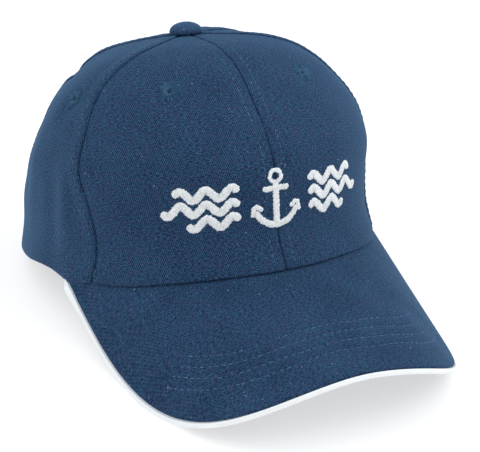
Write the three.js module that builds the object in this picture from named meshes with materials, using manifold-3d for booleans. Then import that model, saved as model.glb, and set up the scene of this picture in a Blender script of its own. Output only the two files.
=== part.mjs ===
// A six-panel cap with a curved peak, standing on the two sides of its peak and the back of its rim.
// Millimetres. +X is the wearer's left, -Y is the front, +Z is up, and the surface is at Z = 0.
//
// The shape is worked out in the cap's own frame, whose level plane is the rim's, with the crown's
// middle at X = Y = 0. A point of the crown is named by its turn, the angle round the head from the
// front towards the wearer's left, and its rise, 0 at the rim and 90 degrees at the button.

import * as THREE from 'three';
import { mergeVertices } from 'three/addons/utils/BufferGeometryUtils.js';
import Module from 'manifold-3d';

const wasm = await Module();
wasm.setup();

// Crown
const CROWN_HEIGHT = 102.4;
const RIM_SQUARENESS = 2.03;
const ROW_STEP = 10;
// Radii to the front, side and back of a ring of the crown, the place of its widest line along Y,
// its lean along X, and the turn at which the side seam crosses it
const CROWN_RINGS = [
  { rise: 0, front: 102.7, side: 83.9, back: 100.4, middle: 0, lean: 0, seam: 61.4 },
  { rise: 10, front: 92.8, side: 81.6, back: 98.4, middle: -3.3, lean: 0, seam: 59.0 },
  { rise: 20, front: 89.3, side: 80.8, back: 92.0, middle: -6.6, lean: 0, seam: 62.1 },
  { rise: 30, front: 86.1, side: 79.6, back: 82.3, middle: -9.6, lean: 0, seam: 66.4 },
  { rise: 40, front: 76.7, side: 74.7, back: 72.9, middle: -12.3, lean: 0, seam: 66.4 },
  { rise: 50, front: 63.5, side: 67.1, back: 63.7, middle: -14.7, lean: 0, seam: 67.2 },
  { rise: 60, front: 51.2, side: 56.2, back: 53.3, middle: -16.6, lean: 0, seam: 68.5 },
  { rise: 70, front: 37.8, side: 42.4, back: 40.8, middle: -18.0, lean: -0.3, seam: 67.0 },
  { rise: 80, front: 22.2, side: 25.0, back: 24.4, middle: -18.6, lean: -1.6, seam: 62.8 },
  { rise: 90, front: 0, side: 0, back: 0, middle: -15.8, lean: -3.5, seam: 59.5 },
];
const BACK_SIDE_SEAM = 120;

// Soft dents and swells: centre, spread in degrees round and up, and how far out they stand
const FOLDS = [
  { turn: -131, rise: 68, wide: 15, tall: 6, out: 1.1 },
  { turn: -120, rise: 57.5, wide: 10, tall: 2.6, out: -1.5 },
  { turn: -112, rise: 35, wide: 14, tall: 9, out: -1.5 },
  { turn: -114, rise: 14, wide: 16, tall: 6, out: 1.0 },
  { turn: -96, rise: 26, wide: 5, tall: 16, out: 0.8 },
  { turn: 65, rise: 37, wide: 14, tall: 10, out: 1.3 },
  { turn: 57, rise: 10, wide: 10, tall: 8, out: -0.7 },
  { turn: 97, rise: 75, wide: 14, tall: 3.5, out: -0.8 },
  { turn: 146, rise: 78, wide: 18, tall: 5, out: 1.5 },
  { turn: 60, rise: 27, wide: 12, tall: 5, out: 0.9 },
  { turn: -116, rise: 49, wide: 12, tall: 5, out: -0.8 },
  { turn: 172, rise: 40, wide: 12, tall: 10, out: -1.6 },
  { turn: 118, rise: 34, wide: 12, tall: 12, out: -1.2 },
];
const SEAM_DEPTH = 0.6;
const SEAM_SPREAD = 3.5;

// Cloth
const WALL = 1.8;
const SEAM_GAP = 0.3;
const RIM_GAP = 0.45;
const PANEL_COLUMNS = [0, 0.04, 0.11, 0.2, 0.3, 0.4, 0.5, 0.6, 0.7, 0.8, 0.89, 0.96, 1];
const PANEL_ROWS = 14;
const PANEL_TOP_RISE = 88.9;

// Peak
const PEAK_END_TURN = 68.6;
const PEAK_REACH = 66.8;
const PEAK_TIP_BACK = 4.5;
const PEAK_HALF_WIDTH = 81.6;
const PEAK_SQUARENESS = 2.86;
const ARCH_SPAN = 80;
const ARCH_DROP_ROUND = 21.9;
const ARCH_DROP_STEEP = 27.0;
const PEAK_PITCH = 23.3;
const PEAK_SIDE_PITCH = 12.5;
const PEAK_ROOT = 4.2;
const RIM_FADE_FROM = 3;
const RIM_FADE_TO = 10;
const RIM_DROOP = 1.2;
const PEAK_COLUMNS = 40;
const PEAK_ROWS = 4;
const PEAK_THICK = 4.2;
const COVER_THICK = 1.95;
const COVER_EDGE_THICK = 1.0;
const COVER_INSET = 1.5;
const TRIM_DEEP = 5;
const TRIM_SHARE = 0.6;
// Section of the trim: out is measured from the peak's outermost line, down from its upper surface
const TRIM_SECTION = [
  { out: -1.2, down: 1.3 },
  { out: -1.1, down: 0.5 },
  { out: -0.5, down: 0.3 },
  { out: 0, down: 0.9 },
  { out: 0, down: 2.5 },
  { out: -0.5, down: 3.2 },
  { out: -1.1, down: 3.2 },
  { out: -1.2, down: 2.9 },
];
const TRIM_TOP = 1.3;
const TRIM_BOTTOM = 2.9;

// Sweatband, back opening and straps
const SWEATBAND_OFFSET = 3.1;
const SWEATBAND_WALL = 1.2;
const SWEATBAND_END_TURN = 139;
const SWEATBAND_RIM_GAP = 1.2;
const SWEATBAND_COLUMNS = 50;
const SWEATBAND_ROWS = 3;
const ARCH_HALF_WIDTH = 43;
const ARCH_HEIGHT = 54;
const ARCH_SQUARENESS = 2.5;
const ARCH_STEPS = 16;
const ARCH_BELOW = 20;
const STRAP_RISE = 12.2;
const STRAP_WALL = 1.2;
const STRAP_ROOT_TURN = 140;
const STRAP_LAP_TURN = 193;
const STRAP_OFFSET = 2.5;
const STRAP_OUT_OFFSET = 1.0;
const STRAP_STEP_FROM = 156;
const STRAP_STEP_TO = 165;
const STRAP_COLUMNS = 12;
const STRAP_ROWS = 2;

// Button and eyelets
const BUTTON_RADIUS = 7.7;
const BUTTON_HEIGHT = 5.5;
const BUTTON_LIFT = 0.35;
const BUTTON_SIDES = 20;
const SHANK_RADIUS = 1.6;
const SHANK_LENGTH = 4;
const EYELET_RADIUS = 5;
const EYELET_BORE = 1.5;
const EYELET_SIDES = 14;
const EYELET_PROUD = 0.8;
const EYELETS = [
  { name: 'eyelet_front', panel: 'panel_front', turn: 33.4, rise: 56.2 },
  { name: 'eyelet_side', panel: 'panel_side', turn: 83.2, rise: 52 },
  { name: 'eyelet_back', panel: 'panel_back', turn: 149, rise: 53 },
];

// How far the soft rim flattens where the cap stands, at the back and at the peak's two sides
const BACK_SETTLE = 4.4;
const PEAK_SETTLE = 0.9;
// Where the middle of the whole cap lies, measured forward from the back of the rim
const MIDDLE_FROM_BACK = 135.864;

const NAVY = '#30496a';
const NAVY_UNDER = '#2c4564';
const WHITE = '#eef0f2';
const SWEATBAND_NAVY = '#283b57';
const EYELET_BLUE = '#466580';

const rad = THREE.MathUtils.degToRad;
const deg = THREE.MathUtils.radToDeg;
const mix = THREE.MathUtils.lerp;
const smoothstep = THREE.MathUtils.smoothstep;

function turnBetween(a, b) {
  return THREE.MathUtils.euclideanModulo(a - b + 180, 360) - 180;
}

function signedPower(value, power) {
  return Math.sign(value) * Math.abs(value) ** power;
}

// One column of the ring table at any rise, as a smooth curve through its rows
function ring(column, rise) {
  const last = CROWN_RINGS.length - 1;
  const place = THREE.MathUtils.clamp(rise / ROW_STEP, 0, last);
  const i = Math.min(Math.floor(place), last - 1);
  const t = place - i;
  const p1 = CROWN_RINGS[i][column];
  const p2 = CROWN_RINGS[i + 1][column];
  const p0 = i > 0 ? CROWN_RINGS[i - 1][column] : 2 * p1 - p2;
  const p3 = i + 2 <= last ? CROWN_RINGS[i + 2][column] : 2 * p2 - p1;
  const line = p2 - p0;
  const curve = 2 * p0 - 5 * p1 + 4 * p2 - p3;
  const cubic = -p0 + 3 * p1 - 3 * p2 + p3;
  return 0.5 * (2 * p1 + line * t + curve * t * t + cubic * t * t * t);
}

// Height of the peak's upper surface, an arch from side to side that slopes down to the front
function archHeight(x, y) {
  const across = (x / ARCH_SPAN) ** 2;
  const drop = ARCH_DROP_ROUND * across + ARCH_DROP_STEEP * across ** 2;
  const forward = -y - CROWN_RINGS[0].front;
  const slope = Math.tan(rad(PEAK_PITCH)) + Math.tan(rad(PEAK_SIDE_PITCH)) * across;
  return -drop - forward * slope;
}

function rimPlan(turn) {
  const power = 2 / RIM_SQUARENESS;
  const c = Math.cos(rad(turn));
  const reach = c > 0 ? -CROWN_RINGS[0].front : CROWN_RINGS[0].back;
  const x = CROWN_RINGS[0].side * signedPower(Math.sin(rad(turn)), power);
  return { x, y: reach * Math.abs(c) ** power };
}

const PEAK_END = rimPlan(PEAK_END_TURN);

function peakHeight(x, y) {
  return archHeight(x, y) - archHeight(PEAK_END.x, PEAK_END.y);
}

// Height of the rim's lower edge over a point of the plan. It follows the peak, and past the
// peak's end it droops to just under the level of the rim.
function rimHeight(turn, x, y) {
  const past = Math.abs(turnBetween(turn, 0)) - PEAK_END_TURN;
  return mix(peakHeight(x, y), -RIM_DROOP, smoothstep(past, RIM_FADE_FROM, RIM_FADE_TO));
}

function crownBase(turn, rise) {
  const power = 2 / RIM_SQUARENESS;
  const c = Math.cos(rad(turn));
  const reach = c > 0 ? -ring('front', rise) : ring('back', rise);
  const x = ring('side', rise) * signedPower(Math.sin(rad(turn)), power) + ring('lean', rise);
  const y = reach * Math.abs(c) ** power + ring('middle', rise);
  const share = Math.sin(rad(rise));
  const rim = rimPlan(turn);
  const z = CROWN_HEIGHT * share + rimHeight(turn, rim.x, rim.y) * (1 - share) ** 2;
  return new THREE.Vector3(x, y, z);
}

function crownNormal(turn, rise) {
  const step = 0.5;
  const low = Math.max(rise - step, 0);
  const round = crownBase(turn + step, rise).sub(crownBase(turn - step, rise));
  const up = crownBase(turn, Math.min(rise + step, PANEL_TOP_RISE)).sub(crownBase(turn, low));
  return round.cross(up).normalize();
}

function seamTurns(rise) {
  const side = ring('seam', rise);
  return [0, side, BACK_SIDE_SEAM, 180, -BACK_SIDE_SEAM, -side];
}

function foldHeight(turn, rise) {
  let out = 0;
  for (const fold of FOLDS) {
    const round = turnBetween(turn, fold.turn) / fold.wide;
    const up = (rise - fold.rise) / fold.tall;
    out += fold.out * Math.exp(-round * round - up * up);
  }
  return out;
}

function seamDip(turn, rise, radius) {
  let nearest = 180;
  for (const seam of seamTurns(rise)) {
    nearest = Math.min(nearest, Math.abs(turnBetween(turn, seam)));
  }
  const away = rad(nearest) * radius / SEAM_SPREAD;
  return -SEAM_DEPTH * Math.exp(-away * away);
}

// A point of the crown, inward by a depth. At the rim the wall's lower edge is level, or follows
// the peak where it stands on it.
function crownPoint(turn, rise, inward, withSeams = true, gap = RIM_GAP) {
  const point = crownBase(turn, rise);
  const normal = crownNormal(turn, rise);
  if (rise === 0) {
    normal.setZ(0).normalize();
  }
  const radius = Math.hypot(point.x, point.y - ring('middle', rise));
  const dip = withSeams ? seamDip(turn, rise, radius) : 0;
  point.addScaledVector(normal, foldHeight(turn, rise) + dip - inward);
  if (rise === 0) {
    point.z = rimHeight(turn, point.x, point.y) + gap;
  }
  return point;
}

// The peak's outer line, by its share of the length from the wearer's right to the left
const OUTLINE = [];
const OUTLINE_STEPS = 720;
for (let i = 0; i <= OUTLINE_STEPS; i += 1) {
  const angle = rad(mix(-90, 90, i / OUTLINE_STEPS));
  const power = 2 / PEAK_SQUARENESS;
  const tip = PEAK_END.y + PEAK_TIP_BACK;
  const reach = CROWN_RINGS[0].front + PEAK_REACH + tip;
  const x = PEAK_HALF_WIDTH * signedPower(Math.sin(angle), power);
  const y = tip - reach * Math.abs(Math.cos(angle)) ** power;
  const before = OUTLINE[i - 1];
  const run = before ? before.run + Math.hypot(x - before.x, y - before.y) : 0;
  OUTLINE.push({ x, y, run });
}

function outlinePlan(share) {
  const run = THREE.MathUtils.clamp(share, 0, 1) * OUTLINE[OUTLINE_STEPS].run;
  let i = 1;
  while (i < OUTLINE_STEPS && OUTLINE[i].run < run) {
    i += 1;
  }
  const a = OUTLINE[i - 1];
  const b = OUTLINE[i];
  const t = (run - a.run) / (b.run - a.run);
  return new THREE.Vector2(mix(a.x, b.x, t), mix(a.y, b.y, t));
}

function outlineNormal(share) {
  const step = 0.004;
  const along = outlinePlan(share + step).sub(outlinePlan(share - step)).normalize();
  return new THREE.Vector2(along.y, -along.x);
}

function peakNormal(x, y) {
  const step = 0.5;
  const slopeX = (peakHeight(x + step, y) - peakHeight(x - step, y)) / (2 * step);
  const slopeY = (peakHeight(x, y + step) - peakHeight(x, y - step)) / (2 * step);
  return new THREE.Vector3(-slopeX, -slopeY, 1).normalize();
}

function peakPoint(plan, down) {
  const point = new THREE.Vector3(plan.x, plan.y, peakHeight(plan.x, plan.y));
  return point.addScaledVector(peakNormal(plan.x, plan.y), -down);
}

// The line from the peak's root, under the crown's wall, to the edge of its covers
function peakRib(share) {
  const turn = mix(-PEAK_END_TURN, PEAK_END_TURN, share);
  const rim = rimPlan(turn);
  const inward = crownNormal(turn, 0).setZ(0).normalize();
  const root = new THREE.Vector2(rim.x - inward.x * PEAK_ROOT, rim.y - inward.y * PEAK_ROOT);
  const edge = outlinePlan(share).addScaledVector(outlineNormal(share), -COVER_INSET);
  const reach = edge.clone().sub(root).dot(outlineNormal(share));
  return { root, edge, reach, lip: Math.min(TRIM_DEEP, TRIM_SHARE * reach) };
}

// The cap stands on a plane through the back of its rim that just meets the peak's lowest edge
function restingSlope() {
  const back = CROWN_RINGS[0].back;
  let slope = 0;
  for (const plan of OUTLINE) {
    const low = peakHeight(plan.x, plan.y) - TRIM_BOTTOM * peakNormal(plan.x, plan.y).z;
    slope = Math.max(slope, (BACK_SETTLE - low - PEAK_SETTLE) / (back - plan.y));
  }
  return slope;
}

const SLOPE = restingSlope();
const STAND = new THREE.Matrix4()
  .makeTranslation(0, MIDDLE_FROM_BACK, 0)
  .multiply(new THREE.Matrix4().makeRotationX(-Math.atan(SLOPE)))
  .multiply(new THREE.Matrix4().makeTranslation(0, -CROWN_RINGS[0].back, -BACK_SETTLE));

// Move a point from the cap's own frame to where it stands, flattened on the surface
function stand(point) {
  const placed = point.clone().applyMatrix4(STAND);
  placed.z = Math.max(placed.z, 0);
  return placed;
}

// A closed body from points and faces with their corners in either order
function closedBody(points, faces) {
  const a = new THREE.Vector3();
  let volume = 0;
  for (const [i, j, k] of faces) {
    volume += a.crossVectors(points[j], points[k]).dot(points[i]);
  }
  const index = faces.flatMap(([i, j, k]) => (volume > 0 ? [i, j, k] : [i, k, j]));
  const geometry = new THREE.BufferGeometry().setFromPoints(points);
  geometry.setIndex(index);
  return geometry;
}

// A wall between two grids of points: face(side, i, j) with side 0 outside and 1 inside
function wallBody(columns, rows, face) {
  const points = [];
  for (const side of [0, 1]) {
    for (let i = 0; i <= columns; i += 1) {
      for (let j = 0; j <= rows; j += 1) {
        points.push(stand(face(side, i, j)));
      }
    }
  }
  const at = (side, i, j) => (side * (columns + 1) + i) * (rows + 1) + j;
  const faces = [];
  const quad = (p, q, r, s) => faces.push([p, q, r], [p, r, s]);
  for (let i = 0; i < columns; i += 1) {
    for (let j = 0; j < rows; j += 1) {
      quad(at(0, i, j), at(0, i + 1, j), at(0, i + 1, j + 1), at(0, i, j + 1));
      quad(at(1, i, j), at(1, i, j + 1), at(1, i + 1, j + 1), at(1, i + 1, j));
    }
    quad(at(1, i, 0), at(1, i + 1, 0), at(0, i + 1, 0), at(0, i, 0));
    quad(at(0, i, rows), at(0, i + 1, rows), at(1, i + 1, rows), at(1, i, rows));
  }
  for (let j = 0; j < rows; j += 1) {
    quad(at(0, 0, j), at(0, 0, j + 1), at(1, 0, j + 1), at(1, 0, j));
    quad(at(0, columns, j), at(1, columns, j), at(1, columns, j + 1), at(0, columns, j + 1));
  }
  return closedBody(points, faces);
}

function weld(geometry) {
  geometry.deleteAttribute('normal');
  geometry.deleteAttribute('uv');
  return mergeVertices(geometry, 1e-4);
}

function solid(geometry) {
  const vertProperties = geometry.attributes.position.array;
  const triVerts = Uint32Array.from(geometry.index.array);
  return new wasm.Manifold(new wasm.Mesh({ numProp: 3, vertProperties, triVerts }));
}

function cut(geometry, cutters) {
  let body = solid(geometry);
  for (const cutter of cutters) {
    body = body.subtract(solid(cutter));
  }
  const mesh = body.getMesh();
  const result = new THREE.BufferGeometry();
  result.setAttribute('position', new THREE.BufferAttribute(mesh.vertProperties, 3));
  result.setIndex(new THREE.BufferAttribute(mesh.triVerts, 1));
  return result;
}

const cap = new THREE.Group();

function cloth(color, roughness = 0.95) {
  return new THREE.MeshStandardMaterial({ color, roughness, metalness: 0 });
}

function addPiece(name, geometry, material) {
  const mesh = new THREE.Mesh(geometry, material);
  mesh.name = name;
  cap.add(mesh);
  return mesh;
}

// Lay an upright turned shape on the crown, its axis along the crown's normal
function seatOnCrown(object, turn, rise) {
  const place = crownPoint(turn, rise, 0).applyMatrix4(STAND);
  const normal = crownNormal(turn, rise).transformDirection(STAND);
  object.quaternion.setFromUnitVectors(new THREE.Vector3(0, 1, 0), normal);
  object.position.copy(place);
}

function eyeletCutter(turn, rise) {
  const depth = 6 * WALL;
  const radius = EYELET_RADIUS + SEAM_GAP;
  const holder = new THREE.Object3D();
  seatOnCrown(holder, turn, rise);
  holder.updateMatrix();
  const geometry = weld(new THREE.CylinderGeometry(radius, radius, depth, EYELET_SIDES));
  return geometry.applyMatrix4(holder.matrix);
}

// The arch cut out of the two back panels, as a prism through the back of the crown
function archCutter() {
  const power = 2 / ARCH_SQUARENESS;
  const outline = new THREE.Shape();
  outline.moveTo(ARCH_HALF_WIDTH, -ARCH_BELOW);
  for (let i = 0; i <= ARCH_STEPS; i += 1) {
    const angle = Math.PI * i / ARCH_STEPS;
    const x = ARCH_HALF_WIDTH * signedPower(Math.cos(angle), power);
    outline.lineTo(x, ARCH_HEIGHT * Math.abs(Math.sin(angle)) ** power);
  }
  outline.lineTo(-ARCH_HALF_WIDTH, -ARCH_BELOW);
  const depth = 2 * CROWN_RINGS[0].back;
  const prism = weld(new THREE.ExtrudeGeometry(outline, { depth, bevelEnabled: false }));
  return prism.rotateX(Math.PI / 2).translate(0, depth, 0).applyMatrix4(STAND);
}

function panelBody(from, to) {
  const columns = PANEL_COLUMNS.length - 1;
  return wallBody(columns, PANEL_ROWS, (side, i, j) => {
    const rise = PANEL_TOP_RISE * j / PANEL_ROWS;
    const radius = Math.max(ring('side', rise), 1);
    const trim = deg(SEAM_GAP / 2 / radius);
    const turn = mix(from(rise) + trim, to(rise) - trim, PANEL_COLUMNS[i]);
    return crownPoint(turn, rise, side * WALL);
  });
}

function addPanels() {
  const material = cloth(NAVY);
  const side = (rise) => ring('seam', rise);
  const back = () => BACK_SIDE_SEAM;
  const right = (edge) => (rise) => -edge(rise);
  const panels = [
    { name: 'panel_front', from: () => 0, to: side },
    { name: 'panel_side', from: side, to: back },
    { name: 'panel_back', from: back, to: () => 180 },
  ];
  for (const { name, from, to } of panels) {
    const eyelet = EYELETS.find((row) => row.panel === name);
    const extra = name === 'panel_back' ? [archCutter()] : [];
    const leftCuts = [eyeletCutter(eyelet.turn, eyelet.rise), ...extra];
    const rightCuts = [eyeletCutter(-eyelet.turn, eyelet.rise), ...extra];
    addPiece(`${name}_left`, cut(panelBody(from, to), leftCuts), material);
    addPiece(`${name}_right`, cut(panelBody(right(to), right(from)), rightCuts), material);
  }
}

function addEyelets() {
  const material = cloth(EYELET_BLUE, 0.8);
  const inside = -WALL - 0.1;
  const profile = [
    [EYELET_BORE, inside],
    [EYELET_RADIUS, inside],
    [EYELET_RADIUS, 0.3],
    [EYELET_RADIUS - 1.2, EYELET_PROUD],
    [EYELET_BORE + 0.6, EYELET_PROUD],
    [EYELET_BORE, 0.2],
    [EYELET_BORE, inside],
  ].map(([radius, height]) => new THREE.Vector2(radius, height));
  for (const { name, turn, rise } of EYELETS) {
    for (const [side, sign] of [['left', 1], ['right', -1]]) {
      const ringShape = weld(new THREE.LatheGeometry(profile, EYELET_SIDES));
      seatOnCrown(addPiece(`${name}_${side}`, ringShape, material), sign * turn, rise);
    }
  }
}

function addButton() {
  const dome = [0.35, 0.62, 0.83, 0.96];
  const profile = [
    new THREE.Vector2(0, -SHANK_LENGTH),
    new THREE.Vector2(SHANK_RADIUS, -SHANK_LENGTH),
    new THREE.Vector2(SHANK_RADIUS, 0),
    new THREE.Vector2(BUTTON_RADIUS - 0.6, 0),
    new THREE.Vector2(BUTTON_RADIUS, 1.2),
  ];
  for (const share of dome) {
    const radius = BUTTON_RADIUS * Math.sqrt(1 - share * share);
    profile.push(new THREE.Vector2(radius, mix(1.2, BUTTON_HEIGHT, share)));
  }
  profile.push(new THREE.Vector2(0, BUTTON_HEIGHT));
  const shape = weld(new THREE.LatheGeometry(profile, BUTTON_SIDES));
  const button = addPiece('top_button', shape, cloth(NAVY));
  const top = crownBase(0, 90);
  const up = new THREE.Vector3(0, 0, 1);
  top.addScaledVector(up, BUTTON_LIFT);
  button.position.copy(top.applyMatrix4(STAND));
  button.quaternion.setFromUnitVectors(new THREE.Vector3(0, 1, 0), up.transformDirection(STAND));
}

// One cover of the peak. It is thinner round its edge, where the trim lies between the covers.
function coverBody(outer, thickInner, thinInner) {
  const rows = PEAK_ROWS + 2;
  return wallBody(PEAK_COLUMNS, rows, (side, i, j) => {
    const rib = peakRib(i / PEAK_COLUMNS);
    const stepFrom = 1 - (rib.lip + 0.9) / rib.reach;
    const stepTo = 1 - (rib.lip + 0.35) / rib.reach;
    const shares = [stepFrom * j / PEAK_ROWS, stepTo, 1];
    const t = shares[Math.max(j - PEAK_ROWS, 0)];
    const inner = j > PEAK_ROWS ? thinInner : thickInner;
    return peakPoint(rib.root.clone().lerp(rib.edge, t), side === 0 ? outer : inner);
  });
}

function trimBody() {
  const points = [];
  const faces = [];
  const corners = TRIM_SECTION.length + 2;
  for (let i = 0; i <= PEAK_COLUMNS; i += 1) {
    const share = i / PEAK_COLUMNS;
    const edge = outlinePlan(share);
    const outward = outlineNormal(share);
    const { lip } = peakRib(share);
    const section = [
      { out: -COVER_INSET - lip, down: TRIM_TOP },
      ...TRIM_SECTION,
      { out: -COVER_INSET - lip, down: TRIM_BOTTOM },
    ];
    for (const { out, down } of section) {
      points.push(stand(peakPoint(edge.clone().addScaledVector(outward, out), down)));
    }
  }
  const ends = [0, PEAK_COLUMNS * corners];
  for (let c = 0; c < corners; c += 1) {
    const d = (c + 1) % corners;
    for (let i = 0; i < PEAK_COLUMNS; i += 1) {
      const near = i * corners;
      const far = near + corners;
      faces.push([near + c, near + d, far + d], [near + c, far + d, far + c]);
    }
  }
  // The ends are closed across the section, in strips from its inner side to its outer side
  for (let c = 0; c < corners / 2 - 1; c += 1) {
    const low = corners - 1 - c;
    const [first, last] = ends;
    faces.push([first + c, first + low, first + low - 1], [first + c, first + low - 1, first + c + 1]);
    faces.push([last + c, last + low - 1, last + low], [last + c, last + c + 1, last + low - 1]);
  }
  return closedBody(points, faces);
}

function addPeak() {
  addPiece('peak_top', coverBody(0, COVER_THICK, COVER_EDGE_THICK), cloth(NAVY));
  addPiece('peak_trim', trimBody(), cloth(WHITE, 0.85));
  const thick = PEAK_THICK - COVER_THICK;
  const thin = PEAK_THICK - COVER_EDGE_THICK;
  addPiece('peak_under', coverBody(PEAK_THICK, thick, thin), cloth(NAVY_UNDER));
}

function addSweatband() {
  const body = wallBody(SWEATBAND_COLUMNS, SWEATBAND_ROWS, (side, i, j) => {
    const turn = mix(-SWEATBAND_END_TURN, SWEATBAND_END_TURN, i / SWEATBAND_COLUMNS);
    const rise = PANEL_TOP_RISE * j / PANEL_ROWS;
    const inward = SWEATBAND_OFFSET + side * SWEATBAND_WALL;
    return crownPoint(turn, rise, inward, false, SWEATBAND_RIM_GAP);
  });
  addPiece('sweatband', body, cloth(SWEATBAND_NAVY));
}

// A strap from inside one back panel, across the opening and past its middle
function strapBody(sign, lapOffset) {
  return wallBody(STRAP_COLUMNS, STRAP_ROWS, (side, i, j) => {
    const turn = mix(STRAP_ROOT_TURN, STRAP_LAP_TURN, i / STRAP_COLUMNS);
    const rise = STRAP_RISE * j / STRAP_ROWS;
    const lap = smoothstep(turn, STRAP_STEP_FROM, STRAP_STEP_TO);
    const offset = mix(STRAP_OFFSET, lapOffset, lap);
    return crownPoint(sign * turn, rise, offset + side * STRAP_WALL, false);
  });
}

function addStraps() {
  addPiece('strap_left', strapBody(1, STRAP_OUT_OFFSET), cloth(NAVY));
  addPiece('strap_right', strapBody(-1, STRAP_OFFSET), cloth(NAVY));
}

addPanels();
addEyelets();
addButton();
addPeak();
addSweatband();
addStraps();

export default cap;
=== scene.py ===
"""A six-panel cloth cap, dressed over its packed frame with cloth, seams, thread, trim and embroidery.

Lengths are metres and angles are degrees. The shape is worked out in the cap's own frame, whose level
plane is the rim's, and stand() lays it on the floor. A point of the crown is named by its turn, the
angle round the head from the front towards the wearer's left, and its rise, 0 at the rim and 90 at
the button. A point of the peak is named by its share of the way round the outer edge, from the
wearer's right to the left, and its inset from that edge.
"""

import math

import bmesh
import bpy
import numpy as np
from bpy.props import FloatProperty, FloatVectorProperty, IntProperty, PointerProperty
from mathutils import Matrix, Vector


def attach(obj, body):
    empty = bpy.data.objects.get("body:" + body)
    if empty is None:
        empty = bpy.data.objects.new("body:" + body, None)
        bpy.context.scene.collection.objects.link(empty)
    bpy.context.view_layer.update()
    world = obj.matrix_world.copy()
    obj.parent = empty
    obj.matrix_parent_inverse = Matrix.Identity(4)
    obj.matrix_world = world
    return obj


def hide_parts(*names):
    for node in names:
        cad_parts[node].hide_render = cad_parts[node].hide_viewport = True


bl_info = {
    "name": "Peaked cap",
    "version": (1, 0, 0),
    "blender": (4, 5, 0),
    "location": "View3D > Sidebar > Cap",
    "description": "Dresses the frame of a cloth cap with panels, stitching, trim and embroidery",
    "category": "Object",
}

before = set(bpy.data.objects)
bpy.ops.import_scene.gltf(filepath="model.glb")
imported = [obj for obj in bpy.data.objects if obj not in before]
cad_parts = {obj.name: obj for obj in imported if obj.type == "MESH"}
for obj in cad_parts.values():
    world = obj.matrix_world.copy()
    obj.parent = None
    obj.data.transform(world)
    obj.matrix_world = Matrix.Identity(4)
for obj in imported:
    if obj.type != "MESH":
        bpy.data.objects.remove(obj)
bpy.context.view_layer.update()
BODY = "root"
CLOTH = "cloth"
INNER = "inner"
MM = 0.001
TURNS = 2 * math.pi
# Waves added up in a ripple, and the least and greatest share of its length that each has
RIPPLE_WAVES = 9
RIPPLE_LENGTHS = (0.7, 1.6)

# Crown
CROWN_HEIGHT = 102.4 * MM
RIM_SQUARENESS = 2.03
ROW_STEP = 10
RING_COLUMNS = ("front", "side", "back", "middle", "lean", "seam")
# Radii to the front, side and back of the crown's ring at each 10 degrees of rise, the place of its
# widest line and its lean, all in millimetres, and the turn at which the side seam crosses it
CROWN_RINGS = (
    (102.7, 83.9, 100.4, 0, 0, 61.4),
    (92.8, 81.6, 98.4, -3.3, 0, 59.0),
    (89.3, 80.8, 92.0, -6.6, 0, 62.1),
    (86.1, 79.6, 82.3, -9.6, 0, 66.4),
    (76.7, 74.7, 72.9, -12.3, 0, 66.4),
    (63.5, 67.1, 63.7, -14.7, 0, 67.2),
    (51.2, 56.2, 53.3, -16.6, 0, 68.5),
    (37.8, 42.4, 40.8, -18.0, -0.3, 67.0),
    (22.2, 25.0, 24.4, -18.6, -1.6, 62.8),
    (0, 0, 0, -15.8, -3.5, 59.5),
)
BACK_SIDE_SEAM = 120
# Seams are numbered round from the front one, with those on the wearer's right below 0
SEAMS = (0, 1, 2, 3, -2, -1)
BACK_SEAM = 3
# The two seams of each panel
PANELS = {
    "panel_front_left": (0, 1),
    "panel_front_right": (-1, 0),
    "panel_side_left": (1, 2),
    "panel_side_right": (-2, -1),
    "panel_back_left": (2, 3),
    "panel_back_right": (-3, -2),
}
PANEL_TOP_RISE = 88.9
# Soft dents and swells: turn, rise, spread round and up in degrees, and height in millimetres
FOLDS = (
    (-131, 68, 15, 6, 1.1),
    (-120, 57.5, 10, 2.6, -1.5),
    (-112, 35, 14, 9, -1.5),
    (-114, 14, 16, 6, 1.0),
    (-96, 26, 5, 16, 0.8),
    (65, 37, 14, 10, 1.3),
    (57, 10, 10, 8, -0.7),
    (97, 75, 14, 3.5, -0.8),
    (146, 78, 18, 5, 1.5),
    (60, 27, 12, 5, 0.9),
    (-116, 49, 12, 5, -0.8),
    (172, 40, 12, 10, -1.6),
    (118, 34, 12, 12, -1.2),
)
# Finer creases that the frame doesn't have, in the same terms
CREASES = (
    (-80.5, 17, 4.2, 12, -1.1),
    (-73, 16, 3.4, 10, 0.9),
    (-90, 47, 5, 6, 0.6),
    (-82, 44, 5, 7, -0.5),
    (-103, 44, 8, 3.5, -0.6),
)
SEAM_DEPTH = 0.25 * MM
SEAM_SPREAD = 3.5 * MM
CREASE_DEPTH = 0.7 * MM
CREASE_SPREAD = 0.4 * MM
CREASE_WAVER = 0.5
CREASE_LENGTH = 4 * MM
CREASE_SEED = 9
ALLOWANCE_LIFT = 0.6 * MM
CENTRE_LIFT = 0.08 * MM
ALLOWANCE_FROM = -0.2 * MM
ALLOWANCE_RISE = 0.9 * MM
ALLOWANCE_LEVEL = 0.5 * MM
ALLOWANCE_FALL = 2.5 * MM
STITCH_SINK = 0.12 * MM
STITCH_SINK_SPREAD = 0.45 * MM
PUCKER_HEIGHT = 0.12 * MM
PUCKER_LENGTH = 7 * MM
PUCKER_SEED = 7
PUCKER_SPREAD = 6 * MM
SOFT_HEIGHT = 0.35 * MM
SOFT_LENGTH = 30 * MM
SOFT_SEED = 4
# The front panels are stiffer than the rest, which is soft from the second of these turns on
FRONT_STIFFNESS = 0.45
FRONT_STIFF_TURN = 45
SIDE_SOFT_TURN = 75
RIM_ROLL = 1.5 * MM
# Rises below which the cloth leans level, laps over the peak's ends and follows the sewn rim
LEVEL_BELOW = 1.5
LAP_BELOW = 5
RIM_BELOW = 6
WALL = 1.8 * MM
SEAM_GAP = 0.09 * MM
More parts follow.
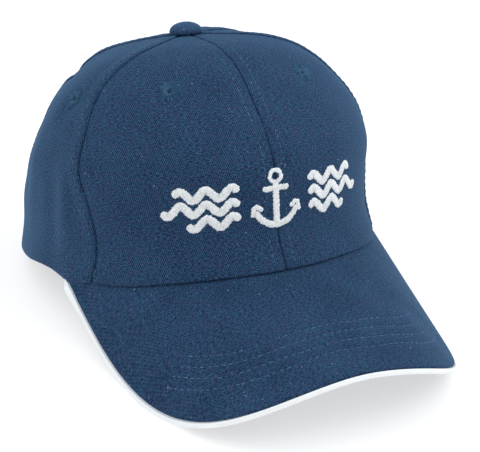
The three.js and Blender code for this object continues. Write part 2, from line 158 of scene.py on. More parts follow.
# Topstitched rows beside the seams: where they start, at the back and elsewhere, where they stop, and
# the widest turn between a row and its seam
SEAM_ROW_FROM = 1.6
BACK_ROW_FROM = 31
SEAM_ROW_TO = 84
SEAM_ROW_WIDEST = 24
SEAM_ROW_POINTS = 240
# Where rows run beside each seam, in seam offsets: one close row at each side seam
SEAM_ROWS = {0: (-1, 1), 1: (0.65,), 2: (-1, 1), 3: (-1, 1), -2: (-1, 1), -1: (-0.65,)}
# Beyond this turn a row is left out where the back opening's hem would cut it
HEMMED_FROM = 100
# Tack of slanting stitches over the foot of each side seam, in degrees of turn and rise
TACK_RISES = (2.4, 3.1, 3.8)
TACK_HALF = 1.3
TACK_SLANT = 0.35
TACK_POINTS = 12
TACK_LIFT = 0.5 * MM
# Columns of a panel beside each of its seams, measured from the seam in millimetres, and the most of
# the panel's width that they take up near its point
SEAM_STEPS = (0, 0.15, 0.3, 0.5, 0.8, 1.2, 1.8, 2.6, 3.6, 4.2, 4.6, 5, 5.4, 5.9, 7)
SEAM_STEPS_MOST = 0.4
PANEL_MIDDLE_COLUMNS = 34
RIM_ROWS = (0, 0.08, 0.2, 0.36, 0.6, 0.95, 1.4)
PANEL_ROW_STEP = 0.6

# Peak
PEAK_END_TURN = 68.6
PEAK_REACH = 66.8 * MM
PEAK_TIP_BACK = 4.5 * MM
PEAK_HALF_WIDTH = 81.6 * MM
PEAK_SQUARENESS = 2.86
ARCH_SPAN = 80 * MM
ARCH_DROP_ROUND = 21.9 * MM
ARCH_DROP_STEEP = 27.0 * MM
PEAK_PITCH = 23.3
PEAK_SIDE_PITCH = 12.5
PEAK_ROOT = 4.2 * MM
RIM_FADE_FROM = 3
RIM_FADE_TO = 10
RIM_DROOP = 1.2 * MM
PEAK_THICK = 4.2 * MM
COVER_THICK = 1.95 * MM
COVER_EDGE_THICK = 1.0 * MM
COVER_INSET = 1.5 * MM
EDGE_ROLL = 0.9 * MM
EDGE_ROLL_DEPTH = 0.7
EDGE_ROWS = (0, 0.1, 0.25, 0.45, 0.7, 1.0)
# Soft ripples of the peak's covers: height, length and seed of each
PEAK_RIPPLES = ((0.12 * MM, 22 * MM, 12), (0.05 * MM, 7 * MM, 13))
PEAK_RIPPLES_FROM = 8 * MM
# Where the covers thicken again past the trim's lip
LIP_FROM = 0.3 * MM
LIP_TO = 0.9 * MM
TRIM_DEEP = 5 * MM
TRIM_SHARE = 0.6
TRIM_TOP = 1.3
TRIM_BOTTOM = 2.9
# Section of the trim in millimetres: out from the peak's outermost line, down from its upper surface
TRIM_SECTION = (
    (-1.2, 1.3),
    (-1.1, 0.5),
    (-0.5, 0.3),
    (0, 0.9),
    (0, 2.5),
    (-0.5, 3.2),
    (-1.1, 3.2),
    (-1.2, 2.9),
)
# How far the trim's lower side spreads outwards at its two ends, and over what length
TRIM_FLARE = 1.4 * MM
TRIM_FLARE_RUN = 26 * MM
# Depths between which the trim's flare sets in
TRIM_FLARE_FROM = 0.6 * MM
TRIM_FLARE_TO = 2.2 * MM
OUTLINE_STEPS = 720
PEAK_COLUMNS = 240
PEAK_ROWS = 90
# Stitched rows of the peak, in shares of the outline from its middle: where they bend towards the
# edge, where they would reach it, how softly they bend, and where each ends, from the outermost in
ROW_BEND_FROM = 0.085
ROW_BEND_TO = 0.40
ROW_BEND_SOFT = 0.02
ROW_ENDS = (0.255, 0.25, 0.235, 0.22)
ROW_END_FADE = 0.03
ROW_POINTS = 500
ROW_WANDER = 0.25 * MM
ROW_WANDER_LENGTH = 0.08
PEAK_SINK = 0.24 * MM
PEAK_SINK_SPREAD = 0.9 * MM
RIM_GAP = 0.55 * MM
# How far the cloth of the rim hangs past the ends of the peak: turn, and height in millimetres
RIM_HANG = (
    (68.6, 0),
    (72, -0.9),
    (76, -0.6),
    (80, 0.4),
    (85, 0.8),
    (90, 0.3),
    (95, -0.7),
    (100, -1.2),
    (180, -1.2),
)
HANG_FROM = 2.2
HANG_TO = 4.4
# Lap of the rim's cloth over the ends of the peak: how far down and out, and its spread in degrees
LAP_DOWN = 2.0 * MM
LAP_OUT = 1.3 * MM
LAP_TURN = 69.5
LAP_SPREAD = 4.5

# Back opening, sweatband and straps
ARCH_HALF_WIDTH = 43 * MM
ARCH_HEIGHT = 54 * MM
ARCH_SQUARENESS = 2.5
# The stitched line round the opening: its first angle, and the radius, the rounds and the rises of the
# search that lays it on the crown
ARCH_FROM = 2
ARCH_POINTS = 240
ARCH_GUESS = 90 * MM
ARCH_ROUNDS = 12
ARCH_RISES = (0.5, 80)
BEHIND_BELOW = 50
HEM_WIDTH = 6 * MM
HEM_LIFT = 0.25 * MM
HEM_FALL = 1 * MM
SWEATBAND_OFFSET = 3.1 * MM
SWEATBAND_WALL = 1.2 * MM
SWEATBAND_END_TURN = 139
SWEATBAND_TOP_RISE = 19.05
SWEATBAND_RIM_GAP = 1.2 * MM
SWEATBAND_COLUMNS = 300
SWEATBAND_ROWS = 22
# Degrees of rise over which its edges are rounded, and how far they pinch its wall
SWEATBAND_EDGE = 1.2
SWEATBAND_PINCH = 0.4 * SWEATBAND_WALL
# Ripples of its inner side, which set in over this many rounded edges
SWEATBAND_SOFT = 0.25 * MM
SWEATBAND_SOFT_LENGTH = 26 * MM
SWEATBAND_SOFT_LEAST = -0.2 * MM
SWEATBAND_SOFT_EDGES = 4
SWEATBAND_SEED = 21
# Rises of its two stitched rows, and how far they stay from its ends
SWEATBAND_ROW_RISES = (2.2, SWEATBAND_TOP_RISE - 1.6)
SWEATBAND_ROW_END = 1
SWEATBAND_ROW_POINTS = 900
SWEATBAND_ROW_LIFT = 0.05 * MM
STRAP_RISE = 12.2
STRAP_WALL = 1.2 * MM
STRAP_ROOT_TURN = 140
STRAP_LAP_TURN = 193
STRAP_OFFSET = 2.5 * MM
STRAP_OUT_OFFSET = 1.0 * MM
STRAP_STEP_FROM = 156
STRAP_STEP_TO = 165
# The side of each strap, and how deep it lies where the two lap
STRAPS = (("strap_left", 1, STRAP_OUT_OFFSET), ("strap_right", -1, STRAP_OFFSET))
STRAP_COLUMNS = 90
STRAP_ROWS = 20
# Length of a degree along a strap and across it
STRAP_ALONG = 1.6 * MM
STRAP_ACROSS = 1.75 * MM
STRAP_EDGE = 0.6 * MM
STRAP_PINCH = 0.45 * STRAP_WALL
# Stitched rows: degrees from the strap's long edges, from its root and from its end
STRAP_ROW_INSET = 1.4
STRAP_ROW_ROOT = 2
STRAP_ROW_END = 1.5
STRAP_ROW_POINTS = 200
STRAP_END_POINTS = 60

# Button and eyelets
BUTTON_RADIUS = 7.7 * MM
BUTTON_HEIGHT = 5.5 * MM
BUTTON_BRIM = 1.2 * MM
BUTTON_LIFT = 0.35 * MM
SHANK_RADIUS = 1.6 * MM
SHANK_LENGTH = 4 * MM
# Radius and height of the button's lower side, from the foot of its shank out to its brim
BUTTON_UNDERSIDE = (
    (SHANK_RADIUS * 0.3, -SHANK_LENGTH),
    (SHANK_RADIUS, -SHANK_LENGTH * 0.97),
    (SHANK_RADIUS, 0),
    (BUTTON_RADIUS * 0.8, 0),
    (BUTTON_RADIUS * 0.93, 0.12 * MM),
    (BUTTON_RADIUS * 0.985, 0.5 * MM),
)
BUTTON_TIP = BUTTON_RADIUS * 0.02
BUTTON_SIDES = 72
BUTTON_ROWS = 25
# Small gathers of the button's cloth: depth, number, and the heights between which they fade
GATHER_DEPTH = 0.09 * MM
GATHERS = 13
GATHER_FROM = 0.5 * MM
GATHER_TO = 3 * MM
EYELET_RADIUS = 5 * MM
EYELET_BORE = 0.9 * MM
EYELET_PROUD = 0.55 * MM
EYELET_UNDER = WALL + 0.1 * MM
# Radius and height of the eyelet's section, from the foot of its bore up and out to its outer foot
EYELET_SECTION = (
    (EYELET_BORE, -EYELET_UNDER),
    (EYELET_BORE, -0.5 * MM),
    (EYELET_BORE + 0.25 * MM, -0.05 * MM),
    (EYELET_BORE + 0.8 * MM, 0.6 * EYELET_PROUD),
    (EYELET_BORE + 1.5 * MM, EYELET_PROUD),
    (EYELET_RADIUS - 1.8 * MM, 0.85 * EYELET_PROUD),
    (EYELET_RADIUS - 0.9 * MM, 0.5 * EYELET_PROUD),
    (EYELET_RADIUS - 0.25 * MM, 0.1 * EYELET_PROUD),
    (EYELET_RADIUS, -0.35 * MM),
    (EYELET_RADIUS, -EYELET_UNDER),
)
# The hole in the cloth is smaller than the ring by this much
EYELET_LAP = 1.2 * MM
EYELET_THREADS = 46
EYELET_SEED = 40
THREAD_SIDES = 4
# How far single threads end short of the ring or beyond it, in millimetres
THREAD_SHORTEST = -0.9
THREAD_LONGEST = 1.3
THREAD_RIDGE_OUT = 0.15 * MM
THREAD_RIDGE_UP = 0.5 * MM
EYELET_DIMPLE = 0.4 * MM
EYELET_DIMPLE_SPREAD = 7 * MM
# Name, panel, turn and rise of the eyelet in each left-hand panel; the right-hand ones mirror them
EYELETS = (
    ("eyelet_front", "panel_front", 33.4, 56.2),
    ("eyelet_side", "panel_side", 83.2, 52),
    ("eyelet_back", "panel_back", 149, 53),
)

# Where the cap stands
BACK_SETTLE = 4.4 * MM
PEAK_SETTLE = 0.9 * MM
MIDDLE_FROM_BACK = 135.864 * MM


def tint(name, description, default):
    return FloatVectorProperty(
        name=name, description=description, subtype="COLOR", default=default, min=0, max=1,
    )


def millimetres(name, description, default, low, high):
    """A length, whose default and limits are given in millimetres."""
    return FloatProperty(
        name=name, description=description, default=default * MM, min=low * MM, max=high * MM,
        unit="LENGTH", precision=5,
    )


class CapCloth(bpy.types.PropertyGroup):
    """Colours and weave of the cloth."""

    navy: tint("Navy", "Twill of the crown, peak and straps", (0.001, 0.012, 0.040))
    navy_pale: tint("Worn navy", "Tips of the yarns, where the twill is brushed", (0.034, 0.079, 0.164))
    lint: tint("Lint", "Scattered pale flecks on the twill", (0.20, 0.30, 0.40))
    navy_under: tint("Under cloth", "Plain cloth under the peak and on the sweatband", (0.01, 0.03, 0.07))
    white: tint("White", "Edge trim and embroidery", (0.80, 0.82, 0.83))
    eyelet: tint("Eyelet thread", "Close stitching round the eyelets", (0.036, 0.112, 0.215))
    sewing: tint("Sewing thread", "Topstitching", (0.088, 0.178, 0.305))
    peak_sewing: tint("Peak thread", "Paler stitching on the peak", (0.100, 0.210, 0.370))
    twill_pitch: millimetres("Twill pitch", "Distance from one diagonal rib to the next", 1.0, 0.3, 3)
    twill_relief: millimetres("Twill relief", "How far the diagonal ribs stand up", 0.09, 0, 1)


class CapStitching(bpy.types.PropertyGroup):
    """Size and spacing of the sewing."""

    length: millimetres("Stitch length", "Length of one stitch", 2.3, 0.5, 6)
    gap: millimetres("Stitch gap", "Distance between stitches", 1.0, 0.1, 4)
    thread: millimetres("Thread", "Thickness of the sewing thread", 0.42, 0.1, 1.5)
    seam_offset: millimetres("Seam offset", "Distance of each topstitched row from its seam", 5, 1, 10)
    peak_rows: IntProperty(
        name="Peak rows", description="Rows of stitching across the peak", default=4, min=0, max=12,
    )
    peak_first: millimetres("First peak row", "Inset of the outermost row from the peak's edge", 16, 8, 30)
    peak_step: millimetres("Peak row step", "Distance between rows on the middle of the peak", 5.4, 2, 12)


class CapEmbroidery(bpy.types.PropertyGroup):
    """The anchor and waves on the front."""

    height: millimetres("Height on the crown", "Height of the motif's middle above the peak", 34, 15, 70)
    stroke: millimetres("Stroke", "Width of a satin-stitched stroke", 3.7, 1, 8)
    relief: millimetres("Relief", "How far the stitching stands out of the cloth", 0.6, 0.1, 3)
    thread: millimetres("Thread", "Width of one embroidery thread", 0.5, 0.1, 1.5)


class CapStage(bpy.types.PropertyGroup):
    """Floor, light and camera."""

    floor: tint("Floor", "Colour of the floor", (0.50, 0.50, 0.50))
    glow: FloatProperty(
        name="Floor glow", description="Light that the floor gives off itself, which pales its shadows",
        default=0.6, min=0, max=2,
    )
    sky: FloatProperty(
        name="Sky", description="Strength of the even light from all round", default=0.8, min=0, max=10,
    )
    lamp: FloatProperty(
        name="Lamp", description="Power of the large soft lamp overhead", default=13.5,
        min=0, max=200, unit="POWER",
    )


# Shape of the crown

RINGS = {name: np.array([row[i] for row in CROWN_RINGS], float) for i, name in enumerate(RING_COLUMNS)}
for length_column in RING_COLUMNS[:5]:
    RINGS[length_column] *= MM


def turn_between(a, b):
    return (np.asarray(a) - b + 180) % 360 - 180


def signed_power(value, power):
    return np.sign(value) * np.abs(value) ** power


def smoothstep(value, low, high):
    share = np.clip((value - low) / (high - low), 0, 1)
    return share * share * (3 - 2 * share)


def mix(a, b, share):
    return a + (b - a) * share


def round_over(share):
    """How far a rounded edge falls back: 1 at the edge, where the share is 0, and 0 from 1 on."""
    return 1 - np.sqrt(1 - (1 - np.clip(share, 0, 1)) ** 2)


def sine(angle):
    return np.sin(np.radians(angle))


def cosine(angle):
    return np.cos(np.radians(angle))


def ring(column, rise):
    """One column of the ring table at any rise, as a smooth curve through its rows."""
    values = RINGS[column]
    padded = np.concatenate([[2 * values[0] - values[1]], values, [2 * values[-1] - values[-2]]])
    last = len(values) - 1
    place = np.clip(np.asarray(rise, float) / ROW_STEP, 0, last)
    i = np.minimum(place.astype(int), last - 1)
    t = place - i
    p0, p1, p2, p3 = (padded[i + step] for step in range(4))
    curve = 2 * p0 - 5 * p1 + 4 * p2 - p3
    cubic = 3 * (p1 - p2) + p3 - p0
    return 0.5 * (2 * p1 + (p2 - p0) * t + curve * t ** 2 + cubic * t ** 3)


RIM_FRONT = RINGS["front"][0]
RIM_SIDE = RINGS["side"][0]
RIM_BACK = RINGS["back"][0]


def rim_plan(turn):
    power = 2 / RIM_SQUARENESS
    c = cosine(turn)
    reach = np.where(c > 0, -RIM_FRONT, RIM_BACK)
    return RIM_SIDE * signed_power(sine(turn), power), reach * np.abs(c) ** power


def arch_height(x, y):
    """Height of the peak's upper surface, an arch from side to side that slopes down to the front."""
    across = (x / ARCH_SPAN) ** 2
    drop = ARCH_DROP_ROUND * across + ARCH_DROP_STEEP * across ** 2
    slope = math.tan(math.radians(PEAK_PITCH)) + math.tan(math.radians(PEAK_SIDE_PITCH)) * across
    return -drop - (-y - RIM_FRONT) * slope


PEAK_END = rim_plan(PEAK_END_TURN)


def peak_height(x, y):
    return arch_height(x, y) - arch_height(*PEAK_END)


def rim_height(turn, x, y):
    past = np.abs(turn_between(turn, 0)) - PEAK_END_TURN
    return mix(peak_height(x, y), -RIM_DROOP, smoothstep(past, RIM_FADE_FROM, RIM_FADE_TO))


def lap_share(turn):
    """How fully the rim's cloth laps over an end of the peak."""
    return np.exp(-((np.abs(turn_between(turn, 0)) - LAP_TURN) / LAP_SPREAD) ** 2)


def rim_hang(turn, x, y):
    """Height of the sewn rim, whose cloth hangs closer round the peak's ends than the frame's."""
    away = np.abs(turn_between(turn, 0))
    turns, heights = np.array(RIM_HANG).T
    hang = np.interp(away, turns, heights) * MM
    hang = mix(peak_height(x, y), hang, smoothstep(away - PEAK_END_TURN, HANG_FROM, HANG_TO))
    return hang - LAP_DOWN * lap_share(turn)


def same_shape(turn, rise):
    return np.broadcast_arrays(np.asarray(turn, float), np.asarray(rise, float))


def crown_base(turn, rise):
    """The crown's smooth shape, without seams or folds."""
    turn, rise = same_shape(turn, rise)
    power = 2 / RIM_SQUARENESS
    c = cosine(turn)
    reach = np.where(c > 0, -ring("front", rise), ring("back", rise))
    x = ring("side", rise) * signed_power(sine(turn), power) + ring("lean", rise)
    y = reach * np.abs(c) ** power + ring("middle", rise)
    share = sine(rise)
    z = CROWN_HEIGHT * share + rim_height(turn, *rim_plan(turn)) * (1 - share) ** 2
    return np.stack([x, y, z], -1)


def unit(vectors):
    return vectors / np.maximum(np.linalg.norm(vectors, axis=-1, keepdims=True), 1e-12)


def crown_slopes(turn, rise):
    """How the crown's smooth shape moves with a degree of turn and with a degree of rise."""
    step = 0.5
    low = np.maximum(np.asarray(rise, float) - step, 0)
    high = np.minimum(np.asarray(rise, float) + step, PANEL_TOP_RISE)
    round_way = (crown_base(turn + step, rise) - crown_base(turn - step, rise)) / (2 * step)
    up_way = (crown_base(turn, high) - crown_base(turn, low)) / (high - low)[..., None]
    return round_way, up_way


def crown_normal(turn, rise):
    round_way, up_way = crown_slopes(turn, rise)
    return unit(np.cross(round_way, up_way))


def seam_turn(number, rise):
    side = ring("seam", rise)
    level = np.zeros_like(side)
    turn = (level, side, level + BACK_SIDE_SEAM, level + 180)[abs(number)]
    return -turn if number < 0 else turn


def seam_distance(turn, rise):
    """Distance over the cloth to the nearest seam, and how far the seam allowance lifts it there."""
    round_way, up_way = crown_slopes(turn, rise)
    step = 1.0
    nearest = np.full(np.shape(turn), 1.0)
    lift = np.zeros(np.shape(turn))
    for number in SEAMS:
        shift = seam_turn(number, np.asarray(rise) + step) - seam_turn(number, np.asarray(rise) - step)
        along = unit(round_way * (shift / (2 * step))[..., None] + up_way)
        span = np.linalg.norm(np.cross(round_way, along), axis=-1)
        past = turn_between(turn, seam_turn(number, rise))
        away = np.abs(past) * span
        behind = np.sign(past) * (0 if number == BACK_SEAM else np.sign(number))
        seam_lift = np.where(behind > 0, ALLOWANCE_LIFT, CENTRE_LIFT)
        lift = np.where(away < nearest, seam_lift, lift)
        nearest = np.minimum(nearest, away)
    return nearest, lift


def ripples(points, wavelength, seed):
    """A soft random undulation of about one either way over points, the same in each run."""
    random = np.random.default_rng(seed)
    pace = TURNS / (wavelength * random.uniform(*RIPPLE_LENGTHS, RIPPLE_WAVES))
    heading = unit(random.normal(size=(RIPPLE_WAVES, 3))) * pace[:, None]
    phase = random.uniform(0, TURNS, RIPPLE_WAVES)
    return np.sin(points @ heading.T + phase).mean(-1) * 2


def fold_height(turn, rise):
    out = 0
    for fold_turn, fold_rise, wide, tall, height in FOLDS + CREASES:
        round_share = turn_between(turn, fold_turn) / wide
        up_share = (rise - fold_rise) / tall
        out = out + height * MM * np.exp(-round_share ** 2 - up_share ** 2)
    return out


def arch_distance(point):
    """Distance to the edge of the back opening, over the back of the crown."""
    x = np.abs(point[..., 0])
    z = np.maximum(point[..., 2], 0)
    spread = (x / ARCH_HALF_WIDTH) ** ARCH_SQUARENESS + (z / ARCH_HEIGHT) ** ARCH_SQUARENESS
    reach = spread ** (1 / ARCH_SQUARENESS)
    return (reach - 1) * np.hypot(x, z) / np.maximum(reach, 1e-6)


def eyelet_spots():
    for name, panel, turn, rise in EYELETS:
        yield name + "_left", panel + "_left", turn, rise
        yield name + "_right", panel + "_right", -turn, rise


def cloth_relief(turn, rise, base, offset, crease=1.0):
    """How far the sewn cloth stands out of the crown's smooth shape."""
    away, lift = seam_distance(turn, rise)
    out = fold_height(turn, rise) - SEAM_DEPTH * np.exp(-(away / SEAM_SPREAD) ** 2)
    depth = CREASE_DEPTH * (1 + CREASE_WAVER * ripples(base, CREASE_LENGTH, CREASE_SEED))
    out = out - crease * depth * np.exp(-(away / CREASE_SPREAD) ** 2)
    lift = lift * (1 - smoothstep(away, offset - ALLOWANCE_LEVEL, offset + ALLOWANCE_FALL))
    out = out + lift * smoothstep(away, ALLOWANCE_FROM, ALLOWANCE_RISE)
    out = out - crease * STITCH_SINK * np.exp(-((away - offset) / STITCH_SINK_SPREAD) ** 2)
    from_front = np.abs(turn_between(turn, 0))
    soft = mix(FRONT_STIFFNESS, 1.0, smoothstep(from_front, FRONT_STIFF_TURN, SIDE_SOFT_TURN))
    out = out + soft * SOFT_HEIGHT * ripples(base, SOFT_LENGTH, SOFT_SEED)
    pucker = np.exp(-(away / PUCKER_SPREAD) ** 2) * ripples(base, PUCKER_LENGTH, PUCKER_SEED)
    out = out + PUCKER_HEIGHT * pucker
    for _, _, eyelet_turn, eyelet_rise in eyelet_spots():
        centre = crown_base(eyelet_turn, eyelet_rise)
        spread = np.linalg.norm(base - centre, axis=-1) / EYELET_DIMPLE_SPREAD
        out = out - EYELET_DIMPLE * np.exp(-spread ** 2)
    behind = (cosine(turn) < 0) & (rise < BEHIND_BELOW)
    hem = np.where(behind, arch_distance(base), 1)
    out = out + HEM_LIFT * (1 - smoothstep(hem, HEM_WIDTH, HEM_WIDTH + HEM_FALL))
    return out - STITCH_SINK * np.exp(-((hem - HEM_WIDTH) / STITCH_SINK_SPREAD) ** 2)


def crown_layer(turn, rise, base, out, gap):
    """Points that stand out of the crown's smooth shape, with their lowest ones on the sewn rim."""
    normal = crown_normal(turn, rise)
    lean = mix(unit(normal * (1, 1, 0)), normal, smoothstep(rise, 0, LEVEL_BELOW)[..., None])
    point = base + lean * out[..., None]
    floor = rim_hang(turn, point[..., 0], point[..., 1]) + gap
    near = 1 - smoothstep(rise, 0, RIM_BELOW)
    point[..., 2] += near * (floor - rim_height(turn, *rim_plan(turn)))
    return point


def crown_cloth(turn, rise, offset, crease=1.0):
    """Points and normals of the crown's outer cloth."""
    turn, rise = same_shape(turn, rise)
    base = crown_base(turn, rise)
    height = rise * math.radians(1) * CROWN_HEIGHT
    lap = LAP_OUT * lap_share(turn) * (1 - smoothstep(rise, 0, LAP_BELOW))
    out = cloth_relief(turn, rise, base, offset, crease) + lap - RIM_ROLL * round_over(height / RIM_ROLL)
    return crown_layer(turn, rise, base, out, RIM_GAP), crown_normal(turn, rise)


def inner_crown(turn, rise, inward, gap):
    """Points of a layer inside the crown's wall, which has the folds but not the seams."""
    turn, rise = same_shape(turn, rise)
    return crown_layer(turn, rise, crown_base(turn, rise), fold_height(turn, rise) - inward, gap)


# Shape of the peak

def outline_curve():
    angle = np.linspace(-90, 90, OUTLINE_STEPS + 1)
    power = 2 / PEAK_SQUARENESS
    tip = PEAK_END[1] + PEAK_TIP_BACK
    reach = RIM_FRONT + PEAK_REACH + tip
    x = PEAK_HALF_WIDTH * signed_power(sine(angle), power)
    y = tip - reach * np.abs(cosine(angle)) ** power
    steps = np.hypot(np.diff(x), np.diff(y))
    return x, y, np.concatenate([[0], np.cumsum(steps)])


OUTLINE_X, OUTLINE_Y, OUTLINE_RUN = outline_curve()


def outline_plan(share):
    run = np.clip(share, 0, 1) * OUTLINE_RUN[-1]
    return np.stack([np.interp(run, OUTLINE_RUN, OUTLINE_X), np.interp(run, OUTLINE_RUN, OUTLINE_Y)], -1)


def outline_normal(share):
    step = 0.004
    along = unit(outline_plan(share + step) - outline_plan(share - step))
    return np.stack([along[..., 1], -along[..., 0]], -1)


def peak_normal(plan):
    step = 0.5 * MM
    x, y = plan[..., 0], plan[..., 1]
    slope_x = (peak_height(x + step, y) - peak_height(x - step, y)) / (2 * step)
    slope_y = (peak_height(x, y + step) - peak_height(x, y - step)) / (2 * step)
    return unit(np.stack([-slope_x, -slope_y, np.ones_like(slope_x)], -1))


def peak_point(plan, down):
    point = np.stack([plan[..., 0], plan[..., 1], peak_height(plan[..., 0], plan[..., 1])], -1)
    return point - peak_normal(plan) * np.asarray(down)[..., None]


def peak_rib(share):
    """The line from the peak's root, under the crown's wall, to the edge of its covers."""
    turn = mix(-PEAK_END_TURN, PEAK_END_TURN, share)
    outward = unit((crown_normal(turn, np.zeros_like(turn)) * (1, 1, 0)))[..., :2]
    root = np.stack(rim_plan(turn), -1) - outward * PEAK_ROOT
    normal = outline_normal(share)
    edge = outline_plan(share) - normal * COVER_INSET
    reach = ((edge - root) * normal).sum(-1)
    return root, edge, reach


def peak_plan(share, inset):
    """The plan place on the peak at an inset from its outermost line, along the rib."""
    root, edge, reach = peak_rib(share)
    along = 1 - (inset - COVER_INSET) / reach
    return mix(root, edge, along[..., None])


def resting_slope():
    plan = np.stack([OUTLINE_X, OUTLINE_Y], -1)
    low = peak_height(OUTLINE_X, OUTLINE_Y) - TRIM_BOTTOM * MM * peak_normal(plan)[..., 2]
    return ((BACK_SETTLE - low - PEAK_SETTLE) / (RIM_BACK - OUTLINE_Y)).max()


STAND = (
    Matrix.Translation((0, MIDDLE_FROM_BACK, 0))
    @ Matrix.Rotation(-math.atan(resting_slope()), 4, "X")
    @ Matrix.Translation((0, -RIM_BACK, -BACK_SETTLE))
)
STAND_TURN = np.array(STAND.to_3x3())
STAND_MOVE = np.array(STAND.translation)


def stand(points):
    """Moves points from the cap's own frame to where it stands, flattened on the floor."""
    placed = points @ STAND_TURN.T + STAND_MOVE
    placed[..., 2] = np.maximum(placed[..., 2], 0)
    return placed


def axis_distance(points, spot, normal):
    """Distance of points from the line through spot along normal."""
    gap = points - spot
    return np.linalg.norm(gap - (gap @ normal)[..., None] * normal, axis=-1)


# Meshes

def grid_faces(columns, rows, flip=False):
    i = np.arange(columns - 1)[:, None]
    j = np.arange(rows - 1)[None, :]
    at = i * rows + j
    order = (at, at + 1, at + rows + 1, at + rows) if flip else (at, at + rows, at + rows + 1, at + 1)
    return np.stack(order, -1).reshape(-1, 4)


def edge_faces(line, far_line):
    """Quads that join two lines of point numbers."""
    return np.stack([line[:-1], line[1:], far_line[1:], far_line[:-1]], -1)


def wall(outer, inner):
    """A closed wall between two grids of points, of which the first is the outer side."""
    columns, rows = outer.shape[:2]
    number = np.arange(columns * rows).reshape(columns, rows)
    deep = number + columns * rows
    faces = [
        grid_faces(columns, rows),
        grid_faces(columns, rows, flip=True) + columns * rows,
        edge_faces(deep[:, 0], number[:, 0]),
        edge_faces(number[:, -1], deep[:, -1]),
        edge_faces(number[0], deep[0]),
        edge_faces(deep[-1], number[-1]),
    ]
    points = np.concatenate([outer.reshape(-1, 3), inner.reshape(-1, 3)])
    return points, np.concatenate(faces).tolist()


def tubes(rings, closed=False):
    """Closed tubes through rings of points: the array is tubes, rings, sides, coordinates."""
    count, stations, sides = rings.shape[:3]
    number = np.arange(count * stations * sides).reshape(count, stations, sides)
    here = number[:, :-1]
    there = number[:, 1:]
    if closed:
        here = number
        there = np.roll(number, -1, axis=1)
    quads = np.stack([here, np.roll(here, -1, 2), np.roll(there, -1, 2), there], -1).reshape(-1, 4)
    faces = [quads]
    if not closed:
        for k in range(1, sides // 2):
            a, b = k - 1, k
            c, d = sides - 1 - k, sides - k
            faces.append(number[:, 0][:, [a, d, c, b]])
            faces.append(number[:, -1][:, [a, b, c, d]])
    return rings.reshape(-1, 3), np.concatenate(faces).tolist()


def joined(parts):
    """Several lists of points and faces as one."""
    points = []
    faces = []
    start = 0
    for part_points, part_faces in parts:
        points.append(part_points)
        faces += [[v + start for v in face] for face in part_faces]
        start += len(part_points)
    return np.concatenate(points), faces


def turned_over(faces):
    return [face[::-1] for face in faces]


def store_vectors(mesh, name, vectors):
    layer = mesh.attributes.new(name, "FLOAT_VECTOR", "POINT")
    layer.data.foreach_set("vector", np.asarray(vectors, np.float32).ravel())


def new_mesh(name, points, faces, cloth=None):
    """A smooth mesh that keeps each point's place on the flat cloth."""
    mesh = bpy.data.meshes.new(name)
    mesh.from_pydata(points.tolist(), [], faces)
    store_vectors(mesh, CLOTH, points if cloth is None else cloth)
    mesh.shade_smooth()
    return mesh


def wall_mesh(name, outer, inner, cloth):
    """A wall between two grids of points, laid where the cap stands, with one cloth on both sides."""
    points, faces = wall(stand(outer), stand(inner))
    cloth = cloth.reshape(-1, 3)
    return new_mesh(name, points, faces, np.concatenate([cloth, cloth]))


def cut_away(mesh, outside):
    """Cuts a mesh along the line where outside() is zero, and drops the part where it is below."""
    edit = bmesh.new()
    edit.from_mesh(mesh)
    verts = list(edit.verts)
    values = dict(zip(verts, outside(np.array([v.co for v in verts])).tolist()))
    for edge in list(edit.edges):
        a, b = edge.verts
        if values[a] * values[b] < 0:
            fresh = bmesh.utils.edge_split(edge, a, values[a] / (values[a] - values[b]))[1]
            values[fresh] = 0.0
    for face in list(edit.faces):
        on_line = [v for v in face.verts if values[v] == 0]
        if len(on_line) == 2 and not edit.edges.get(on_line):
            bmesh.utils.face_split(face, *on_line)
    dropped = [f for f in edit.faces if min(values[v] for v in f.verts) < 0]
    bmesh.ops.delete(edit, geom=dropped, context="FACES")
    edit.to_mesh(mesh)
    edit.free()


def read_vectors(data, field):
    values = np.empty(len(data) * 3, np.float32)
    data.foreach_get(field, values)
    return values.reshape(-1, 3).astype(float)


def close_wall(name, sheet):
    """A closed wall between a sheet and its inner side, standing on the floor."""
    outer = read_vectors(sheet.vertices, "co")
    inner = read_vectors(sheet.attributes[INNER].data, "vector")
    cloth = read_vectors(sheet.attributes[CLOTH].data, "vector")
    faces = [tuple(polygon.vertices) for polygon in sheet.polygons]
    sides = {side for face in faces for side in zip(face, face[1:] + face[:1])}
    deep = len(outer)
    backs = [tuple(v + deep for v in reversed(face)) for face in faces]
    rims = [(b, a, a + deep, b + deep) for a, b in sorted(sides) if (b, a) not in sides]
    points = np.concatenate([stand(outer), stand(inner)])
    return new_mesh(name, points, faces + backs + rims, np.concatenate([cloth, cloth]))


def add_piece(name, mesh, material, slot, *nodes):
    """Adds one piece of the cap, which stands for the frame's nodes."""
    piece = bpy.data.objects.new(name, mesh)
    bpy.context.scene.collection.objects.link(piece)
    mesh.materials.append(material)
    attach(piece, BODY)
    if nodes:
        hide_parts(*nodes)


def arc_length(points, axis):
    """Distance along a grid of points, counted along an axis of it."""
    steps = np.linalg.norm(np.diff(points, axis=axis), axis=-1)
    start = np.zeros_like(np.take(steps, [0], axis))
    return np.concatenate([start, np.cumsum(steps, axis)], axis)


def flat_places(plan):
    """Plan places with a height of 0."""
    return np.concatenate([plan, np.zeros((*plan.shape[:-1], 1))], -1)


def cloth_places(points):
    """Places of a grid's points on the flat cloth, across and along its middle column."""
    middle = points.shape[0] // 2
    across = arc_length(points, 0)
    across = across - across[middle]
    along = np.broadcast_to(arc_length(points, 1)[middle], across.shape)
    return np.stack([across, along, np.zeros_like(across)], -1)


# Sewing

STITCH_STATIONS = 5
STITCH_SIDES = 6
